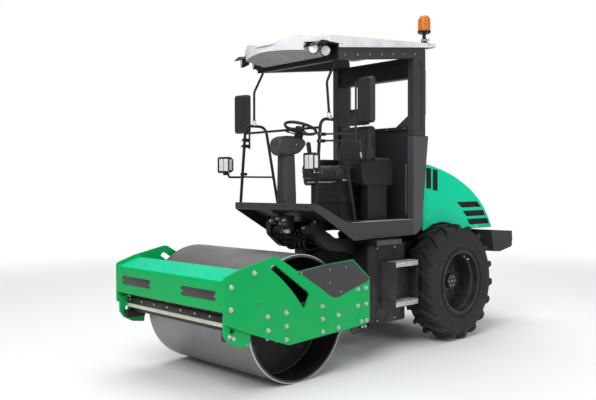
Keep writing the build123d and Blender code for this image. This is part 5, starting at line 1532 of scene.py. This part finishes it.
def dress_nodes():
    """Materials of every CAD node."""
    plain = {
        "green": ["rear_crossmember", "tie_down_tabs"],
        "black": [
            "front_scraper", "rear_scraper", "steering_barrel", "guard_rails", "roof_stays", "work_lights",
            "roof_lights", "beacon",
        ],
        "chassis": ["drum_carriers", "knuckle", "chassis", "tank_left", "tank_right"],
        "cast": ["rear_axle", "engine_block", "counterweight"],
        "step_paint": ["steps_left", "steps_right"],
        "rim": ["rim_left", "rim_right"],
        "dark_grey": ["floor_pan"],
        "pillar": ["pillar_left", "pillar_right"],
        "inside": ["bulkhead"],
        "plastic": [
            "mirrors", "seat_base", "console_left", "console_right", "hood_grilles", "steering_wheel",
        ],
        "pod": ["steering_console"],
        "hood": ["hood"],
        "tyre": ["tyre_left", "tyre_right"],
        "vinyl": ["seat_cushion", "seat_back"],
    }
    for name, nodes in plain.items():
        for node in nodes:
            dress(node, name)
    dress("drum", "steel", [
        ("edge", lambda c, n: abs(c.x) >= 684),
        ("dark_inside_and_shade", lambda c, n: math.hypot(c.y, c.z - DRUM_R) < 500 and abs(c.x) < 684),
    ])
    for side in ("left", "right"):
        dress("side_plate_" + side, "green", [("panel", lambda c, n: n.z > 0.3 and c.y > 0 and c.z > 760)])
    dress("rollover_frame", "dark_grey", [
        ("white", lambda c, n: c.y > 1862 and 2200 < c.z < 2720),
        # painted shade: front-facing faces high up and downward faces under the roof are near black
        ("dark_inside_and_shade", lambda c, n: n.y < -0.5 and c.z > 2640 or n.z < -0.5 and c.z > 2500),
    ])
    # painted highlight: the beam's faces that look up get the lighter green
    dress("front_crossmember", "green", [("green_lit_top", lambda c, n: n.z > 0.75)])
    dress("steering_rod", "chrome", [("chassis", lambda c, n: c.y > 1150 or c.y < 840)])
    # painted shade: the roof's downward faces are mid grey under the front lip and near black further back
    dress("roof_shell", "roof", [
        ("roof_front_shade", lambda c, n: n.z < -0.3 and c.y <= 600),
        ("dark_inside_and_shade", lambda c, n: n.z < -0.3 and c.y > 600),
    ])


def camera():
    """Camera fitted to the photo."""
    data = bpy.data.cameras.new("camera")
    data.lens = 43.02
    data.sensor_width = 36.0
    data.shift_x = -0.0319
    data.shift_y = 0.00995
    data.clip_start, data.clip_end = 0.1, 400
    obj = placed("camera", data)
    obj.location = (4.756, -5.178, 1.551)
    turn = Matrix.Rotation(math.radians(45.196), 4, "Z") @ Matrix.Rotation(math.radians(88.432), 4, "X")
    turn = turn @ Matrix.Rotation(-0.0025, 4, "Z")
    obj.rotation_euler = turn.to_euler()
    bpy.context.scene.camera = obj


def stage():
    """Pale floor that fades into the white background."""
    made = bmesh.new()
    bmesh.ops.create_circle(made, cap_ends=True, radius=120, segments=96)
    mesh = bpy.data.meshes.new("floor")
    made.to_mesh(mesh)
    made.free()
    floor = placed("floor", mesh)
    floor.location = (0, 0, -0.0005)
    net = Net("floor_paint")
    net.set(Base_Color=(0.93, 0.93, 0.935, 1.0), Roughness=0.7, Specular_IOR_Level=0.15)
    net.link(net.bump(net.noise(60, 3), 0.04, 0.001), net.bsdf.inputs["Normal"])
    far = net.node("VectorMath", operation="LENGTH")
    net.link(net.coords, far.inputs[0])
    fade = net.span(far.outputs["Value"], 4.0, 11.0, interpolation_type="SMOOTHSTEP")
    path = net.node("LightPath")
    rays = [path.outputs[f"Is {kind} Ray"] for kind in ("Camera", "Glossy", "Transmission")]
    share = net.maths("MULTIPLY", fade, net.maths("MAXIMUM", *rays))
    white = net.node("Emission", {"Strength": 1.0})
    mixer = net.node("MixShader")
    for index, source in enumerate((share, net.bsdf.outputs[0], white.outputs[0])):
        net.link(source, mixer.inputs[index])
    net.link(mixer.outputs[0], net.out.inputs[0])
    mesh.materials.append(net.mat)


def area_light(name, place, target, size, power):
    """Rectangular lamp that points at a target."""
    data = bpy.data.lights.new(name, "AREA")
    data.shape = "RECTANGLE"
    data.size, data.size_y = size
    data.energy = power
    obj = placed(name, data)
    obj.location = place
    obj.rotation_euler = (Vector(target) - Vector(place)).to_track_quat("-Z", "Y").to_euler()


def lighting():
    """Surround that is white to the camera and dimmer as a light, and four soft lamps."""
    world = bpy.data.worlds.new("studio")
    bpy.context.scene.world = world
    world.use_nodes = True
    nodes, links = world.node_tree.nodes, world.node_tree.links
    nodes.clear()
    kinds = ("OutputWorld", "LightPath", "Math", "MixShader")
    out, path, seen, mixer = (nodes.new("ShaderNode" + kind) for kind in kinds)
    seen.operation = "MAXIMUM"
    links.new(path.outputs["Is Camera Ray"], seen.inputs[0])
    links.new(path.outputs["Is Transmission Ray"], seen.inputs[1])
    links.new(seen.outputs[0], mixer.inputs[0])
    for index, strength in ((1, 0.32), (2, 1.0)):
        glow = nodes.new("ShaderNodeBackground")
        glow.inputs["Color"].default_value = (1, 1, 1, 1)
        glow.inputs["Strength"].default_value = strength
        links.new(glow.outputs[0], mixer.inputs[index])
    links.new(mixer.outputs[0], out.inputs[0])
    area_light("key", (3.5, -7.0, 7.5), (0, 0, 1), (5, 5), 520)
    area_light("top", (-1.5, 0.5, 9.0), (0, 0, 0), (8, 8), 470)
    area_light("fill", (8.0, 1.5, 3.5), (0, 0.5, 1.2), (5, 4), 150)
    area_light("back", (-6.0, 6.0, 5.0), (0, 0, 1.5), (4, 4), 160)


bpy.context.scene.view_settings.view_transform = "Standard"
camera()
stage()
lighting()
dress_nodes()

FRONT_PIECES = {
    "plate_bolts": plate_bolts, "plate_panels": plate_panels, "beam_trim": beam_trim,
    "scraper_trim": scraper_trim, "tab_trim": tab_trim, "rear_loops": rear_loop,
    "weld_seams": weld_seams, "housing_bolts": housing_bolts, "carrier_bolts": carrier_bolts,
}
REAR_PIECES = {
    "ear_trim": ear_trim, "hydraulics": hydraulics, "tank_trim": tank_trim, "tank_cap": tank_cap,
    "step_sets": step_sets, "floor_trim": floor_trim, "hoop_fittings": hoop_fittings,
    "frame_bolts": frame_bolts, "bulkhead_trim": bulkhead_trim, "roof_trim": roof_trim,
    "roof_lamp_faces": roof_lamp_faces, "work_lamp_faces": work_lamp_faces,
    "mirror_faces": mirror_faces, "seat_hardware": seat_hardware, "console_trim": console_trim,
    "steering_trim": steering_trim, "rear_trim": rear_trim,
}
for body, makers in (("front_frame", FRONT_PIECES), ("rear_frame", REAR_PIECES)):
    for name, maker in makers.items():
        piece(name, maker(), body)
piece("drum_details", drum_details(), "drum")
piece("knuckle_trim", knuckle_trim(), "knuckle")
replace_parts(piece("hood_trim", hood_trim(), "hood"), "hood_grilles")
hood_shell()
for side, word in ((1, "left"), (-1, "right")):
    tyre = piece("tyre_lugged_" + word, tyre_shape(side), "wheel_" + word, 0.7)
    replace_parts(tyre, "tyre_" + word)
    piece("rim_trim_" + word, rim_trim(side), "wheel_" + word)
base, dome = beacon_parts()
beacon_base = piece("beacon_base", base, "rear_frame")
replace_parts(beacon_base, "beacon")
amber = piece("beacon_dome", dome, "rear_frame")
rails = piece("guard_rail_bars", guard_rail_bars(), "rear_frame")
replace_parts(rails, "guard_rails")
wheel = piece("steering_wheel_grip", steering_wheel_piece(), "rear_frame")
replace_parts(wheel, "steering_wheel")
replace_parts(bpy.data.objects["steering_trim"], "steering_console")
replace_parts(bpy.data.objects["console_trim"], "console_left", "console_right")
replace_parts(bpy.data.objects["step_sets"], "steps_left", "steps_right")
seat()
